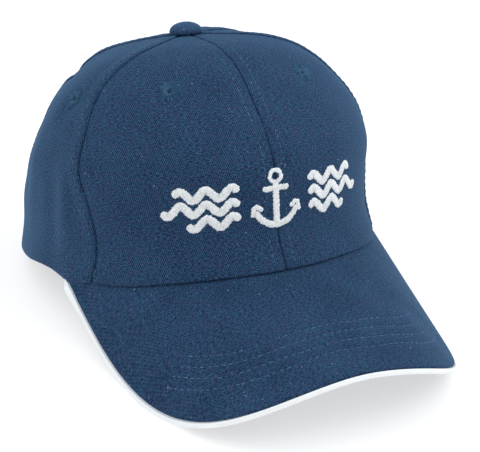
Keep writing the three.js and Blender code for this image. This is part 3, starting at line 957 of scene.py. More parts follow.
# Uneven start of each stitch, in gaps, and the share of its arch that is missing at each end
STITCH_JITTER = 0.12
STITCH_TIP = 0.08
# Rise of a stitch's middle and the dip of its ends, in radii of the thread
STITCH_SWELL = 1.1
STITCH_DIP = 0.75
# Width of its ends, and height of its section, as shares
STITCH_END_WIDTH = 0.55
STITCH_FLATNESS = 0.8
HEM_SEED = 90
TACK_SEED = 91


def around(sides):
    """The angle of each side of a round section."""
    return np.arange(sides) * TURNS / sides


def stitch_row(points, normals, sewing, seed):
    """Stitches laid end to end along a line on the cloth, each dipping into it at both ends."""
    run = arc_length(points, 0)
    pitch = sewing.length + sewing.gap
    count = int(run[-1] / pitch)
    random = np.random.default_rng(seed)
    start = (np.arange(count) + 0.5) * pitch - sewing.length / 2
    start = start + random.uniform(-STITCH_JITTER, STITCH_JITTER, count) * sewing.gap
    share = np.linspace(0, 1, STITCH_STATIONS)
    place = start[:, None] + share * sewing.length
    centre = np.stack([np.interp(place, run, points[:, k]) for k in range(3)], -1)
    normal = unit(np.stack([np.interp(place, run, normals[:, k]) for k in range(3)], -1))
    along = unit(np.gradient(centre, axis=1))
    side = unit(np.cross(normal, along))
    swell = np.sin(np.pi * mix(STITCH_TIP, 1 - STITCH_TIP, share))
    radius = sewing.thread / 2
    up = radius * (STITCH_SWELL * swell - STITCH_DIP)
    angle = around(STITCH_SIDES)
    width = radius * mix(STITCH_END_WIDTH, 1.0, swell)
    sideways = side[:, :, None] * (np.cos(angle) * width[:, None])[..., None]
    tall = np.sin(angle) * width[:, None] * STITCH_FLATNESS + up[:, None]
    rings = centre[:, :, None] + sideways + normal[:, :, None] * tall[..., None]
    rings[..., 2] = np.maximum(rings[..., 2], 0)
    return tubes(rings)


def add_stitching(name, rows, material):
    add_piece(name, new_mesh(name, *joined(rows)), material, "eyelet_thread")


# Materials

class Value:
    """A number that varies over a surface. Its operators add Math nodes."""

    def __init__(self, graph, socket):
        self.graph = graph
        self.socket = socket

    def math(self, operation, *values):
        return self.graph.value("ShaderNodeMath", {"operation": operation}, dict(enumerate(values)))

    def __add__(self, other):
        return self.math("ADD", self, other)

    def __radd__(self, other):
        return self.math("ADD", other, self)

    def __sub__(self, other):
        return self.math("SUBTRACT", self, other)

    def __rsub__(self, other):
        return self.math("SUBTRACT", other, self)

    def __mul__(self, other):
        return self.math("MULTIPLY", self, other)

    def __rmul__(self, other):
        return self.math("MULTIPLY", other, self)

    def sine(self):
        return self.math("SINE", self)


# Sockets of a Mix node for colours, by their number
MIX_SHARE = 0
MIX_A = 6
MIX_B = 7
MIX_RESULT = 2


class Graph:
    """The nodes of one material."""

    def __init__(self, name):
        self.material = bpy.data.materials.new(name)
        self.material.use_nodes = True
        self.tree = self.material.node_tree
        self.tree.nodes.clear()

    def node(self, kind, settings, inputs):
        """Adds any node: its settings first, then the values or links of its inputs."""
        node = self.tree.nodes.new(kind)
        for name, setting in settings.items():
            setattr(node, name, setting)
        for name, value in inputs.items():
            if isinstance(value, Value):
                self.tree.links.new(value.socket, node.inputs[name])
            else:
                node.inputs[name].default_value = value
        return node

    def value(self, kind, settings, inputs, output=0):
        return Value(self, self.node(kind, settings, inputs).outputs[output])

    def noise(self, place, size, detail=2.0, roughness=0.5):
        """Random cloudiness whose clouds are about size across."""
        inputs = {"Vector": place, "Scale": 1 / size, "Detail": detail, "Roughness": roughness}
        return self.value("ShaderNodeTexNoise", {}, inputs)

    def between(self, value, low, high):
        """The share of the way from low to high, kept from 0 to 1."""
        inputs = {"Value": value, "From Min": low, "From Max": high}
        return self.value("ShaderNodeMapRange", {"interpolation_type": "SMOOTHSTEP"}, inputs)

    def blend(self, share, a, b):
        """A colour between two others."""
        a, b = (value if isinstance(value, Value) else (*value, 1.0) for value in (a, b))
        inputs = {MIX_SHARE: share, MIX_A: a, MIX_B: b}
        return self.value("ShaderNodeMix", {"data_type": "RGBA"}, inputs, MIX_RESULT)

    def bump(self, height, distance):
        return self.value("ShaderNodeBump", {}, {"Height": height, "Distance": distance})

    def cloth(self):
        """The place on the flat cloth."""
        return self.value("ShaderNodeAttribute", {"attribute_name": CLOTH}, {}, "Vector")

    def across_and_along(self, place):
        split = self.node("ShaderNodeSeparateXYZ", {}, {"Vector": place})
        return Value(self, split.outputs["X"]), Value(self, split.outputs["Y"])

    def finish(self, **inputs):
        """Ends the material in a Principled BSDF and gives it back."""
        named = {name.replace("_", " "): value for name, value in inputs.items()}
        surface = self.value("ShaderNodeBsdfPrincipled", {}, named)
        self.node("ShaderNodeOutputMaterial", {}, {"Surface": surface})
        return self.material


def made_once(make):
    """Keeps a material, so that pieces of one cloth share it."""
    kept = {}

    def get(*key):
        if key not in kept:
            kept[key] = make(*key)
        return kept[key]

    return get


# How strong the ribs and the speckle of each twill are, and how worn and pale it is. The button's
# twill is paler as painted light against the shade round its foot, and the peak's is a little darker as
# painted shade from the crown above it
TWILLS = {"navy_twill": (1.1, 1.0, 0.46), "peak_twill": (0.3, 0.72, 0.42), "button_twill": (0.2, 0.8, 0.8)}
# Sizes of the twill's random marks
FUZZ_SIZE = 0.5 * MM
SLUB_SIZE = 0.6 * MM
SLUB_STRETCH = (0.4, 1.0, 1.0)
LINT_SIZE = 1.1 * MM
TONE_SIZE = 1.7 * MM
WANDER_SIZE = 6 * MM
PATCH_SIZE = 15 * MM
CLOUD_SIZE = 24 * MM
# Shares of the noise between which lint shows
LINT_FROM = 0.835
LINT_TO = 0.88
# Greener and redder tones of the worn yarn, as shares of its colour
TEAL = (0.78, 1.08, 1.0)
VIOLET = (1.2, 0.93, 1.0)
SHEEN_TINT = (0.2, 0.56, 1.0, 1)
PLAIN_PITCH = 0.8 * MM
# Property, brightness, worn shade, roughness and share of worn patches of each thread
THREADS = {
    "sewing_thread": ("sewing", 1, 0.3, 0.6, 0.5),
    "peak_thread": ("peak_sewing", 1, 0.3, 0.6, 0.5),
    "eyelet_thread": ("eyelet", 1, 0.4, 0.7, 0.5),
    "white_thread": ("white", 1.2, 0.66, 0.6, 0.1),
}
THREAD_SHEEN_TINT = (0.3, 0.65, 1.0, 1)


def shaded(colour, share):
    """A colour times one share, or times one for each of its channels."""
    return tuple(np.multiply(tuple(colour), share).tolist())


@made_once
def twill(name):
    """Brushed navy cotton twill: diagonal ribs, pale lint and soft cloudy wear."""
    look = bpy.context.scene.cap_cloth
    contrast, grain, wear = TWILLS[name]
    graph = Graph(name)
    place = graph.cloth()
    across, along = graph.across_and_along(place)
    wander = (graph.noise(place, WANDER_SIZE) - 0.5) * 2.5
    rib = ((across + along * 0.5) * (TURNS / look.twill_pitch) + wander).sine()
    yarn = ((across - along * 0.5) * (TURNS / look.twill_pitch) - wander).sine()
    stretch = {"operation": "MULTIPLY"}
    streaks = graph.value("ShaderNodeVectorMath", stretch, {0: place, 1: SLUB_STRETCH})
    slub = graph.noise(streaks, SLUB_SIZE, 2.0, 0.6)
    fuzz = graph.noise(place, FUZZ_SIZE, 2.0, 0.6)
    cloud = graph.noise(place, CLOUD_SIZE, 3.0, 0.6)
    patches = graph.between(graph.noise(place, PATCH_SIZE, 1.0), 0.35, 0.6)
    lint = graph.between(graph.noise(place, LINT_SIZE, 0.0), LINT_FROM, LINT_TO)
    weave = (rib + yarn) * 0.5
    speckle = (slub - 0.5) * 3.6 + (fuzz - 0.5) * 3.4
    # The last term sets how pale the twill is; the button's higher value is painted light, the peak's
    # lower one painted shade
    pale = speckle * grain + (cloud - 0.5) * 0.7 + weave * patches * contrast + wear
    tone = graph.between(graph.noise(streaks, TONE_SIZE, 2.0, 0.6), 0.40, 0.60)
    worn = graph.blend(tone, shaded(look.navy_pale, TEAL), shaded(look.navy_pale, VIOLET))
    dyed = graph.blend(pale, look.navy, worn)
    height = weave * 0.3 + fuzz * 0.4 + slub * 0.3
    return graph.finish(
        Base_Color=graph.blend(lint, dyed, look.lint),
        Roughness=0.92,
        Specular_IOR_Level=0.2,
        Sheen_Weight=0.2,
        Sheen_Roughness=0.45,
        Sheen_Tint=SHEEN_TINT,
        Normal=graph.bump(height, look.twill_relief),
    )


@made_once
def plain_cloth(name, shade):
    """Plain-woven navy cloth, under the peak and on the sweatband."""
    look = bpy.context.scene.cap_cloth
    graph = Graph(name)
    place = graph.cloth()
    warp, weft = ((way * (TURNS / PLAIN_PITCH)).sine() for way in graph.across_and_along(place))
    fuzz = graph.noise(place, 0.7 * MM, 3.0, 0.65)
    cloud = graph.noise(place, 18 * MM, 2.0, 0.5)
    pale = warp * weft * 0.08 + (fuzz - 0.5) * 0.7 + (cloud - 0.5) * 0.4 + 0.3
    dark = shaded(look.navy_under, shade)
    return graph.finish(
        Base_Color=graph.blend(pale, dark, shaded(dark, 1.9)),
        Roughness=0.9,
        Specular_IOR_Level=0.25,
        Sheen_Weight=0.2,
        Sheen_Roughness=0.5,
        Normal=graph.bump(warp * weft * 0.5 + fuzz, 0.06 * MM),
    )


@made_once
def white_cloth():
    """Folded white cotton of the edge trim."""
    look = bpy.context.scene.cap_cloth
    graph = Graph("white_trim")
    place = graph.cloth()
    fuzz = graph.noise(place, 0.6 * MM, 3.0, 0.6)
    cloud = graph.noise(place, 9 * MM, 2.0, 0.5)
    bright = shaded(look.white, 1.12)
    return graph.finish(
        Base_Color=graph.blend(fuzz * 0.5 + cloud * 0.6, shaded(bright, 0.88), bright),
        Roughness=0.85,
        Specular_IOR_Level=0.3,
        Normal=graph.bump(fuzz, 0.08 * MM),
    )


@made_once
def thread(name):
    """Sewing or embroidery thread, slightly glossy, with worn places of a darker colour."""
    source, brightness, wear, roughness, patches = THREADS[name]
    colour = shaded(getattr(bpy.context.scene.cap_cloth, source), brightness)
    graph = Graph(name)
    place = graph.value("ShaderNodeTexCoord", {}, {}, "Object")
    fuzz = graph.noise(place, FUZZ_SIZE, 2.0, 0.6)
    worn = graph.between(graph.noise(place, 3 * MM, 1.0), 0.4, 0.6)
    pale = (fuzz - 0.5) * 3.0 + worn * patches + 0.5 * (1 - patches)
    return graph.finish(
        Base_Color=graph.blend(pale, shaded(colour, wear), colour),
        Roughness=roughness,
        Specular_IOR_Level=0.12,
        Sheen_Weight=0.3,
        Sheen_Roughness=0.4,
        Sheen_Tint=THREAD_SHEEN_TINT,
        Normal=graph.bump(fuzz, 0.03 * MM),
    )


@made_once
def floor_paint():
    look = bpy.context.scene.cap_stage
    graph = Graph("floor")
    place = graph.value("ShaderNodeTexCoord", {}, {}, "Object")
    cloud = graph.noise(place, 0.4, 2.0, 0.5)
    return graph.finish(
        Base_Color=graph.blend(cloud, shaded(look.floor, 0.985), look.floor),
        Roughness=0.9,
        Emission_Color=(1, 1, 1, 1),
        Emission_Strength=look.glow,
    )


# Pieces

def panel_turns(rise, first, last, gap=SEAM_GAP):
    """The turn of each column of a panel at each rise, close together beside the two seams."""
    steps = np.array(SEAM_STEPS) * MM
    low = seam_turn(first, rise)
    high = seam_turn(last, rise)
    low_span = np.linalg.norm(crown_slopes(low, rise)[0], axis=-1)
    high_span = np.linalg.norm(crown_slopes(high, rise)[0], axis=-1)
    low = low + gap / low_span
    high = high - gap / high_span
    width = high - low
    fit_low = np.minimum(1, SEAM_STEPS_MOST * width * low_span / steps[-1])
    fit_high = np.minimum(1, SEAM_STEPS_MOST * width * high_span / steps[-1])
    near = low + steps[:, None] * fit_low / low_span
    far = (high - steps[:, None] * fit_high / high_span)[::-1]
    share = np.linspace(0, 1, PANEL_MIDDLE_COLUMNS + 2)[1:-1, None]
    return np.concatenate([near, mix(near[-1], far[0], share), far])


def panel_rises():
    even = np.arange(RIM_ROWS[-1] + PANEL_ROW_STEP, PANEL_TOP_RISE, PANEL_ROW_STEP)
    return np.concatenate([RIM_ROWS, even, [PANEL_TOP_RISE]])


def panel_mesh(name, seams, offset):
    rise = panel_rises()
    turn = panel_turns(rise, *seams)
    inner_turn = panel_turns(rise, *seams, gap=0)
    rise = np.broadcast_to(rise, turn.shape)
    points, _ = crown_cloth(turn, rise, offset)
    cloth = cloth_places(points).reshape(-1, 3)
    mesh = new_mesh(name + "_sheet", points.reshape(-1, 3), grid_faces(*turn.shape).tolist(), cloth)
    store_vectors(mesh, INNER, inner_crown(inner_turn, rise, WALL, RIM_GAP))
    _, _, eyelet_turn, eyelet_rise = next(row for row in eyelet_spots() if row[1] == name)
    spot, normal = crown_cloth(eyelet_turn, eyelet_rise, offset)
    hole = EYELET_RADIUS - EYELET_LAP
    cut_away(mesh, lambda points: axis_distance(points, spot, normal) - hole)
    if name.startswith("panel_back"):
        cut_away(mesh, arch_distance)
    closed = close_wall(name + "_cloth", mesh)
    bpy.data.meshes.remove(mesh)
    return closed


class CAP_OT_panels(bpy.types.Operator):
    """Sew the crown's six twill panels"""

    bl_idname = "cap.panels"
    bl_label = "Crown panels"

    def execute(self, context):
        offset = context.scene.cap_stitching.seam_offset
        for name, seams in PANELS.items():
            mesh = panel_mesh(name, seams, offset)
            add_piece(name + "_cloth", mesh, twill("navy_twill"), "navy_twill", name)
        return {"FINISHED"}


def crown_row(turn, rise, offset, lift=0.0):
    """Points and normals of a line on the crown's cloth where the cap stands."""
    points, normals = crown_cloth(turn, rise, offset)
    return stand(points + normals * lift), normals @ STAND_TURN.T


def seam_rows(sewing):
    """Turns and rises of the topstitched rows beside each seam."""
    for number, sides in SEAM_ROWS.items():
        low = BACK_ROW_FROM if number == BACK_SEAM else SEAM_ROW_FROM
        rise = np.linspace(low, SEAM_ROW_TO, SEAM_ROW_POINTS)
        seam = seam_turn(number, rise)
        span = np.linalg.norm(crown_slopes(seam, rise)[0], axis=-1)
        shift = np.minimum(sewing.seam_offset / span, SEAM_ROW_WIDEST)
        for side in sides:
            yield seam + side * shift, rise


def arch_row(inset):
    """Turns and rises of a line on the back of the crown, at an inset from the opening's edge."""
    angle = np.linspace(ARCH_FROM, 180 - ARCH_FROM, ARCH_POINTS)
    power = 2 / ARCH_SQUARENESS
    x = ARCH_HALF_WIDTH * signed_power(cosine(angle), power)
    z = ARCH_HEIGHT * np.abs(sine(angle)) ** power
    along = unit(np.stack([np.gradient(x), np.gradient(z)], -1))
    x = x + along[:, 1] * inset
    z = z - along[:, 0] * inset
    turn = 180 - np.degrees(np.arcsin(np.clip(x / ARCH_GUESS, -1, 1)))
    rise = np.degrees(np.arcsin(np.clip(z / CROWN_HEIGHT, 0, 1)))
    for _ in range(ARCH_ROUNDS):
        round_way, up_way = crown_slopes(turn, rise)
        here = crown_base(turn, rise)
        miss_x = x - here[:, 0]
        miss_z = z - here[:, 2]
        area = round_way[:, 0] * up_way[:, 2] - round_way[:, 2] * up_way[:, 0]
        turn = turn + (miss_x * up_way[:, 2] - miss_z * up_way[:, 0]) / area
        rise = rise + (miss_z * round_way[:, 0] - miss_x * round_way[:, 2]) / area
        rise = np.clip(rise, *ARCH_RISES)
    return turn, rise


def tacks():
    """Turns and rises of the few slanting stitches that hold the foot of each side seam."""
    for side in (-1, 1):
        for rise in TACK_RISES:
            across = np.linspace(-TACK_HALF, TACK_HALF, TACK_POINTS)
            yield side * (seam_turn(1, rise) + across), rise + TACK_SLANT * across


class CAP_OT_crown_stitching(bpy.types.Operator):
    """Topstitch the crown's seams and the hem of its back opening"""

    bl_idname = "cap.crown_stitching"
    bl_label = "Crown stitching"

    def execute(self, context):
        sewing = context.scene.cap_stitching
        rows = []
        for seed, (turn, rise) in enumerate(seam_rows(sewing)):
            points, normals = crown_row(turn, rise, sewing.seam_offset)
            clear = arch_distance(crown_base(turn, rise)) > HEM_WIDTH
            keep = clear | (np.abs(turn_between(turn, 0)) < HEMMED_FROM)
            rows.append(stitch_row(points[keep], normals[keep], sewing, seed))
        points, normals = crown_row(*arch_row(HEM_WIDTH), sewing.seam_offset)
        rows.append(stitch_row(points, normals, sewing, HEM_SEED))
        for turn, rise in tacks():
            points, normals = crown_row(turn, rise, sewing.seam_offset, TACK_LIFT)
            rows.append(stitch_row(points, normals, sewing, TACK_SEED))
        add_stitching("crown_stitching", rows, thread("sewing_thread"))
        return {"FINISHED"}


def peak_row(first, share):
    """Inset of a stitched row, which bends less than the peak's edge and runs out at its sides."""
    past = np.abs(share - 0.5) - ROW_BEND_FROM
    bent = (past + np.hypot(past, ROW_BEND_SOFT)) / 2
    return first * (1 - bent / (ROW_BEND_TO - ROW_BEND_FROM))


def peak_row_insets(sewing):
    ends = [ROW_ENDS[min(step, len(ROW_ENDS) - 1)] for step in range(sewing.peak_rows)]
    return [(sewing.peak_first + step * sewing.peak_step, end) for step, end in enumerate(ends)]


def peak_relief(plan, share, inset, sewing):
    """How far the peak's cover stands out: it sinks along the stitched rows and rolls in at its edge."""
    sink = 0
    for first, end in peak_row_insets(sewing):
        row = peak_row(first, share)
        sewn = 1 - smoothstep(np.abs(share - 0.5), end - ROW_END_FADE, end)
        sink = sink + PEAK_SINK * sewn * np.exp(-((inset - row) / PEAK_SINK_SPREAD) ** 2)
    flat = flat_places(plan)
    soft = sum(height * ripples(flat, size, seed) for height, size, seed in PEAK_RIPPLES)
    roll = EDGE_ROLL_DEPTH * EDGE_ROLL * round_over((inset - COVER_INSET) / EDGE_ROLL)
    return soft * smoothstep(inset, COVER_INSET, PEAK_RIPPLES_FROM) - sink - roll


def peak_grid():
    """Share and inset of each point of a cover's grid, close together at its outer edge."""
    share = np.linspace(0, 1, PEAK_COLUMNS)
    _, _, reach = peak_rib(share)
    edge = np.array(EDGE_ROWS) * EDGE_ROLL
    even = np.linspace(0, 1, PEAK_ROWS)[1:]
    deep = edge[-1] + even * (reach[:, None] - edge[-1])
    inset = COVER_INSET + np.concatenate([np.broadcast_to(edge, (PEAK_COLUMNS, len(edge))), deep], 1)
    return np.broadcast_to(share[:, None], inset.shape), inset[:, ::-1]


def trim_lip(share):
    """How deep the trim reaches in between the covers."""
    _, _, reach = peak_rib(share)
    return np.minimum(TRIM_DEEP, TRIM_SHARE * reach)


def cover_mesh(name, sewing, under):
    share, inset = peak_grid()
    plan = peak_plan(share, inset)
    lip = trim_lip(share)
    thin = 1 - smoothstep(inset - COVER_INSET, lip + LIP_FROM, lip + LIP_TO)
    thick = mix(COVER_THICK, COVER_EDGE_THICK, thin)
    relief = peak_relief(plan, share, inset, sewing)
    upper, lower = (PEAK_THICK - thick, PEAK_THICK + relief) if under else (-relief, thick)
    return wall_mesh(name, peak_point(plan, upper), peak_point(plan, lower), flat_places(plan))


class CAP_OT_peak(bpy.types.Operator):
    """Cover the peak above and below"""

    bl_idname = "cap.peak"
    bl_label = "Peak covers"

    def execute(self, context):
        sewing = context.scene.cap_stitching
        top = cover_mesh("peak_top_cloth", sewing, under=False)
        # The peak's twill is a little darker: painted shade from the crown above it
        add_piece("peak_top_cloth", top, twill("peak_twill"), "navy_twill", "peak_top")
        low = cover_mesh("peak_under_cloth", sewing, under=True)
        under_cloth = plain_cloth("navy_under_cloth", 1.0)
        add_piece("peak_under_cloth", low, under_cloth, "navy_under_cloth", "peak_under")
        return {"FINISHED"}


class CAP_OT_peak_stitching(bpy.types.Operator):
    """Stitch rows along the peak, above and below"""

    bl_idname = "cap.peak_stitching"
    bl_label = "Peak stitching"

    def execute(self, context):
        sewing = context.scene.cap_stitching
        rows = []
        for seed, (first, end) in enumerate(peak_row_insets(sewing)):
            share = np.linspace(0.5 - end, 0.5 + end, ROW_POINTS)
            line = np.stack([share, np.full_like(share, seed), np.zeros_like(share)], -1)
            wander = ripples(line, ROW_WANDER_LENGTH, seed)
            inset = peak_row(first, share) + ROW_WANDER * wander
            plan = peak_plan(share, inset)
            relief = peak_relief(plan, share, inset, sewing)
            normal = peak_normal(plan) @ STAND_TURN.T
            top = stand(peak_point(plan, -relief))
            low = stand(peak_point(plan, PEAK_THICK + relief))
            rows.append(stitch_row(top, normal, sewing, seed))
            rows.append(stitch_row(low, -normal, sewing, seed))
        add_stitching("peak_stitching", rows, thread("peak_thread"))
        return {"FINISHED"}


def rounded(corners):
    """A closed line of corners with each corner cut off twice, so that it turns softly."""
    for _ in range(2):
        after = np.roll(corners, -1, axis=-2)
        corners = np.stack([mix(corners, after, 0.25), mix(corners, after, 0.75)], -2)
        corners = corners.reshape(*corners.shape[:-3], -1, corners.shape[-1])
    return corners


class CAP_OT_trim(bpy.types.Operator):
    """Fold the white trim round the peak's edge"""

    bl_idname = "cap.trim"
    bl_label = "Peak trim"

    def execute(self, context):
        share = np.linspace(0, 1, 2 * PEAK_COLUMNS)
        section = np.broadcast_to(np.array(TRIM_SECTION) * MM, (len(share), len(TRIM_SECTION), 2))
        root = -COVER_INSET - trim_lip(share)[:, None]
        first = np.stack([root, np.full_like(root, TRIM_TOP * MM)], -1)
        last = np.stack([root, np.full_like(root, TRIM_BOTTOM * MM)], -1)
        section = rounded(np.concatenate([first, section, last], 1))
        from_end = np.minimum(share, 1 - share) * OUTLINE_RUN[-1]
        flare = TRIM_FLARE * (1 - smoothstep(from_end, 0, TRIM_FLARE_RUN))
        low = smoothstep(section[..., 1], TRIM_FLARE_FROM, TRIM_FLARE_TO)
        section[..., 0] += flare[:, None] * (low * (section[..., 0] > -COVER_INSET))
        plan = outline_plan(share)[:, None] + outline_normal(share)[:, None] * section[..., :1]
        points = peak_point(plan, section[..., 1])
        points, faces = tubes(stand(points)[None])
        mesh = new_mesh("peak_trim_cloth", points, faces)
        add_piece("peak_trim_cloth", mesh, white_cloth(), "white_trim", "peak_trim")
        return {"FINISHED"}


def turned(profile, angle, out, up):
    """A shape turned round +Z from a line of radius and height, moved out and up where it isn't even."""
    radius = profile[:, 0, None] + out
    height = profile[:, 1, None] + up
    x = radius * np.cos(angle)
    y = radius * np.sin(angle)
    return np.stack([x, y, np.broadcast_to(height, x.shape)], -1)


def seat(points, spot, normal):
    """Lays a shape that was made upright on a place of the cap, its axis along the normal."""
    turn = np.array(Vector((0, 0, 1)).rotation_difference(Vector(normal)).to_matrix())
    return points @ turn.T + spot


class CAP_OT_button(bpy.types.Operator):
    """Cover the button on the crown's point"""

    bl_idname = "cap.button"
    bl_label = "Top button"

    def execute(self, context):
        dome = np.linspace(0, 1, BUTTON_ROWS + 1)[:-1]
        radius = BUTTON_RADIUS * np.sqrt(1 - dome ** 2)
        height = mix(BUTTON_BRIM, BUTTON_HEIGHT, dome)
        upper = np.stack([radius, height], -1)
        profile = np.concatenate([BUTTON_UNDERSIDE, upper, [(BUTTON_TIP, BUTTON_HEIGHT)]])
        angle = around(BUTTON_SIDES)
        gather = GATHER_DEPTH * np.sin(angle * GATHERS + 2 * np.sin(angle * 3))
        low_share = 1 - smoothstep(profile[:, 1], GATHER_FROM, GATHER_TO)
        skirt = (profile[:, 0] > SHANK_RADIUS * 1.5) * low_share
        points = turned(profile, angle, skirt[:, None] * gather, 0)
        cloth = points.reshape(-1, 3).copy()
        spot = crown_base(0.0, 90.0) + (0, 0, BUTTON_LIFT)
        placed = seat(points, STAND_TURN @ spot + STAND_MOVE, STAND_TURN @ (0, 0, 1))
        placed, faces = tubes(placed[None])
        mesh = new_mesh("top_button_cloth", placed, turned_over(faces), cloth)
        # The button's twill is paler: painted light that makes up for the shade round its foot
        add_piece("top_button_cloth", mesh, twill("button_twill"), "navy_twill", "top_button")
        return {"FINISHED"}


class CAP_OT_eyelets(bpy.types.Operator):
    """Bind the six eyelets with thread"""

    bl_idname = "cap.eyelets"
    bl_label = "Eyelets"

    def execute(self, context):
        offset = context.scene.cap_stitching.seam_offset
        angle = around(EYELET_THREADS * THREAD_SIDES)
        ridge = np.abs(np.sin(angle * EYELET_THREADS / 2))
        profile = np.array(EYELET_SECTION)
        share = smoothstep(profile[:, 0], EYELET_BORE, EYELET_RADIUS) * (profile[:, 1] > -EYELET_UNDER)
        for seed, (name, _, turn, rise) in enumerate(eyelet_spots()):
            random = np.random.default_rng(EYELET_SEED + seed)
            reach = random.uniform(THREAD_SHORTEST, THREAD_LONGEST, EYELET_THREADS)
            reach = np.repeat(reach, THREAD_SIDES) * MM
            out = share[:, None] * (reach + ridge * THREAD_RIDGE_OUT)
            up = share[:, None] * (ridge - 0.5) * THREAD_RIDGE_UP
            spot, normal = crown_cloth(float(turn), float(rise), offset)
            placed = stand(seat(turned(profile, angle, out, up), spot, normal))
            points, faces = tubes(placed[None], closed=True)
            mesh = new_mesh(name + "_thread", points, turned_over(faces))
            add_piece(name + "_thread", mesh, thread("eyelet_thread"), "eyelet_thread", name)
        return {"FINISHED"}


class CAP_OT_sweatband(bpy.types.Operator):
    """Line the rim with the sweatband"""

    bl_idname = "cap.sweatband"
    bl_label = "Sweatband"

    def execute(self, context):
        sewing = context.scene.cap_stitching
        turn = np.linspace(-SWEATBAND_END_TURN, SWEATBAND_END_TURN, SWEATBAND_COLUMNS)[:, None]
        rise = np.linspace(0, SWEATBAND_TOP_RISE, SWEATBAND_ROWS)[None, :]
        edge = np.minimum(rise, SWEATBAND_TOP_RISE - rise) / SWEATBAND_EDGE
        pinch = SWEATBAND_PINCH * round_over(edge)
        outer = inner_crown(turn, rise, SWEATBAND_OFFSET + pinch, SWEATBAND_RIM_GAP)
        soft = SWEATBAND_SOFT * ripples(outer, SWEATBAND_SOFT_LENGTH, SWEATBAND_SEED)
        soft = np.maximum(soft * np.clip(edge / SWEATBAND_SOFT_EDGES, 0, 1), SWEATBAND_SOFT_LEAST)
        depth = SWEATBAND_OFFSET + SWEATBAND_WALL - pinch + soft
        inner = inner_crown(turn, rise, depth, SWEATBAND_RIM_GAP)
        mesh = wall_mesh("sweatband_cloth", outer, inner, cloth_places(outer))
        band_cloth = plain_cloth("sweatband_cloth", 0.9)
        add_piece("sweatband_cloth", mesh, band_cloth, "sweatband_cloth", "sweatband")
        rows = []
        last = SWEATBAND_END_TURN - SWEATBAND_ROW_END
        line = np.linspace(-last, last, SWEATBAND_ROW_POINTS)
        inside = SWEATBAND_OFFSET + SWEATBAND_WALL + SWEATBAND_ROW_LIFT
        for seed, row in enumerate(SWEATBAND_ROW_RISES):
            level = np.full_like(line, row)
            spots = stand(inner_crown(line, level, inside, SWEATBAND_RIM_GAP))
            rows.append(stitch_row(spots, -crown_normal(line, level) @ STAND_TURN.T, sewing, seed))
        add_stitching("sweatband_stitching", rows, thread("sewing_thread"))
        return {"FINISHED"}


def strap_points(sign, lap_offset, turn, rise, depth):
    lap = smoothstep(turn, STRAP_STEP_FROM, STRAP_STEP_TO)
    offset = mix(STRAP_OFFSET, lap_offset, lap)
    return inner_crown(sign * turn, rise, offset + depth, RIM_GAP)


class CAP_OT_straps(bpy.types.Operator):
    """Lap the two straps across the back opening"""

    bl_idname = "cap.straps"
    bl_label = "Straps"

    def execute(self, context):
        sewing = context.scene.cap_stitching
        rows = []
        for name, sign, lap_offset in STRAPS:
            turn = np.linspace(STRAP_ROOT_TURN, STRAP_LAP_TURN, STRAP_COLUMNS)[::sign, None]
            rise = np.linspace(0, STRAP_RISE, STRAP_ROWS)[None, :]
            end = (STRAP_LAP_TURN - turn) * STRAP_ALONG
            near = np.minimum(np.minimum(rise, STRAP_RISE - rise) * STRAP_ACROSS, end) / STRAP_EDGE
            pinch = STRAP_PINCH * round_over(near)
            outer = strap_points(sign, lap_offset, turn, rise, pinch)
            inner = strap_points(sign, lap_offset, turn, rise, STRAP_WALL - pinch)
            mesh = wall_mesh(name + "_cloth", outer, inner, cloth_places(outer))
            add_piece(name + "_cloth", mesh, twill("navy_twill"), "navy_twill", name)
            low = STRAP_ROW_INSET
            high = STRAP_RISE - STRAP_ROW_INSET
            last = STRAP_LAP_TURN - STRAP_ROW_END
            line = np.linspace(STRAP_ROOT_TURN + STRAP_ROW_ROOT, last, STRAP_ROW_POINTS)
            end_line = np.linspace(low, high, STRAP_END_POINTS)
            paths = (
                (line, np.full_like(line, low)),
                (line, np.full_like(line, high)),
                (np.full_like(end_line, last), end_line),
            )
            for seed, (path_turn, path_rise) in enumerate(paths):
                spots = stand(strap_points(sign, lap_offset, path_turn, path_rise, 0))
                normals = crown_normal(sign * path_turn, path_rise) @ STAND_TURN.T
                rows.append(stitch_row(spots, normals, sewing, seed))
        add_stitching("strap_stitching", rows, thread("sewing_thread"))
        return {"FINISHED"}


# Embroidery

FRONT_TURNS = np.linspace(-80, 80, 161)
FRONT_RISES = np.linspace(2, 52, 26)
FRONT_FINE = np.linspace(0, 60, 241)


def front_table():
    """Distances over the front of the crown: up its middle, and round from its middle at each rise."""
    up = arc_length(crown_base(np.zeros_like(FRONT_FINE), FRONT_FINE), 0)
    grid = crown_base(FRONT_TURNS[None, :], FRONT_RISES[:, None])
    round_way = arc_length(grid, 1)
    return up, round_way - round_way[:, [len(FRONT_TURNS) // 2]]


FRONT_UP, FRONT_ROUND = front_table()


def front_spot(across, up):
    """Turn and rise of a place on the front, from distances over the cloth."""
    rise = np.interp(up, FRONT_UP, FRONT_FINE)
    row = np.clip((rise - FRONT_RISES[0]) / (FRONT_RISES[1] - FRONT_RISES[0]), 0, len(FRONT_RISES) - 1.001)
    low = row.astype(int)
    table = mix(FRONT_ROUND[low], FRONT_ROUND[low + 1], (row - low)[..., None])
    flat = table.reshape(-1, len(FRONT_TURNS))
    turn = [np.interp(a, line, FRONT_TURNS) for a, line in zip(across.ravel(), flat)]
    return np.array(turn).reshape(across.shape), rise


SATIN_PER_THREAD = 4
SATIN_SIDES = np.linspace(-1, 1, 9)
# How far the ends of single threads lie from the bar's even edge, in millimetres
SATIN_RAGGED = (-0.24, 0.26)
# Share of a bar's round end that is cut off blunt
SATIN_BLUNT = 0.02
# Height over a bar's width, in its grooves, of its uneven threads, and the least for a narrow place
SATIN_DOME = (1 - (0.95 * np.abs(SATIN_SIDES)) ** 3) ** 0.6
SATIN_GROOVE = 0.6
SATIN_LEVELS = (0.8, 1.1)
SATIN_LEAST = 0.35
# How deep the foot of a bar and its lower side lie in the cloth
SATIN_FOOT = 0.1 * MM
SATIN_ROOT = 0.5 * MM


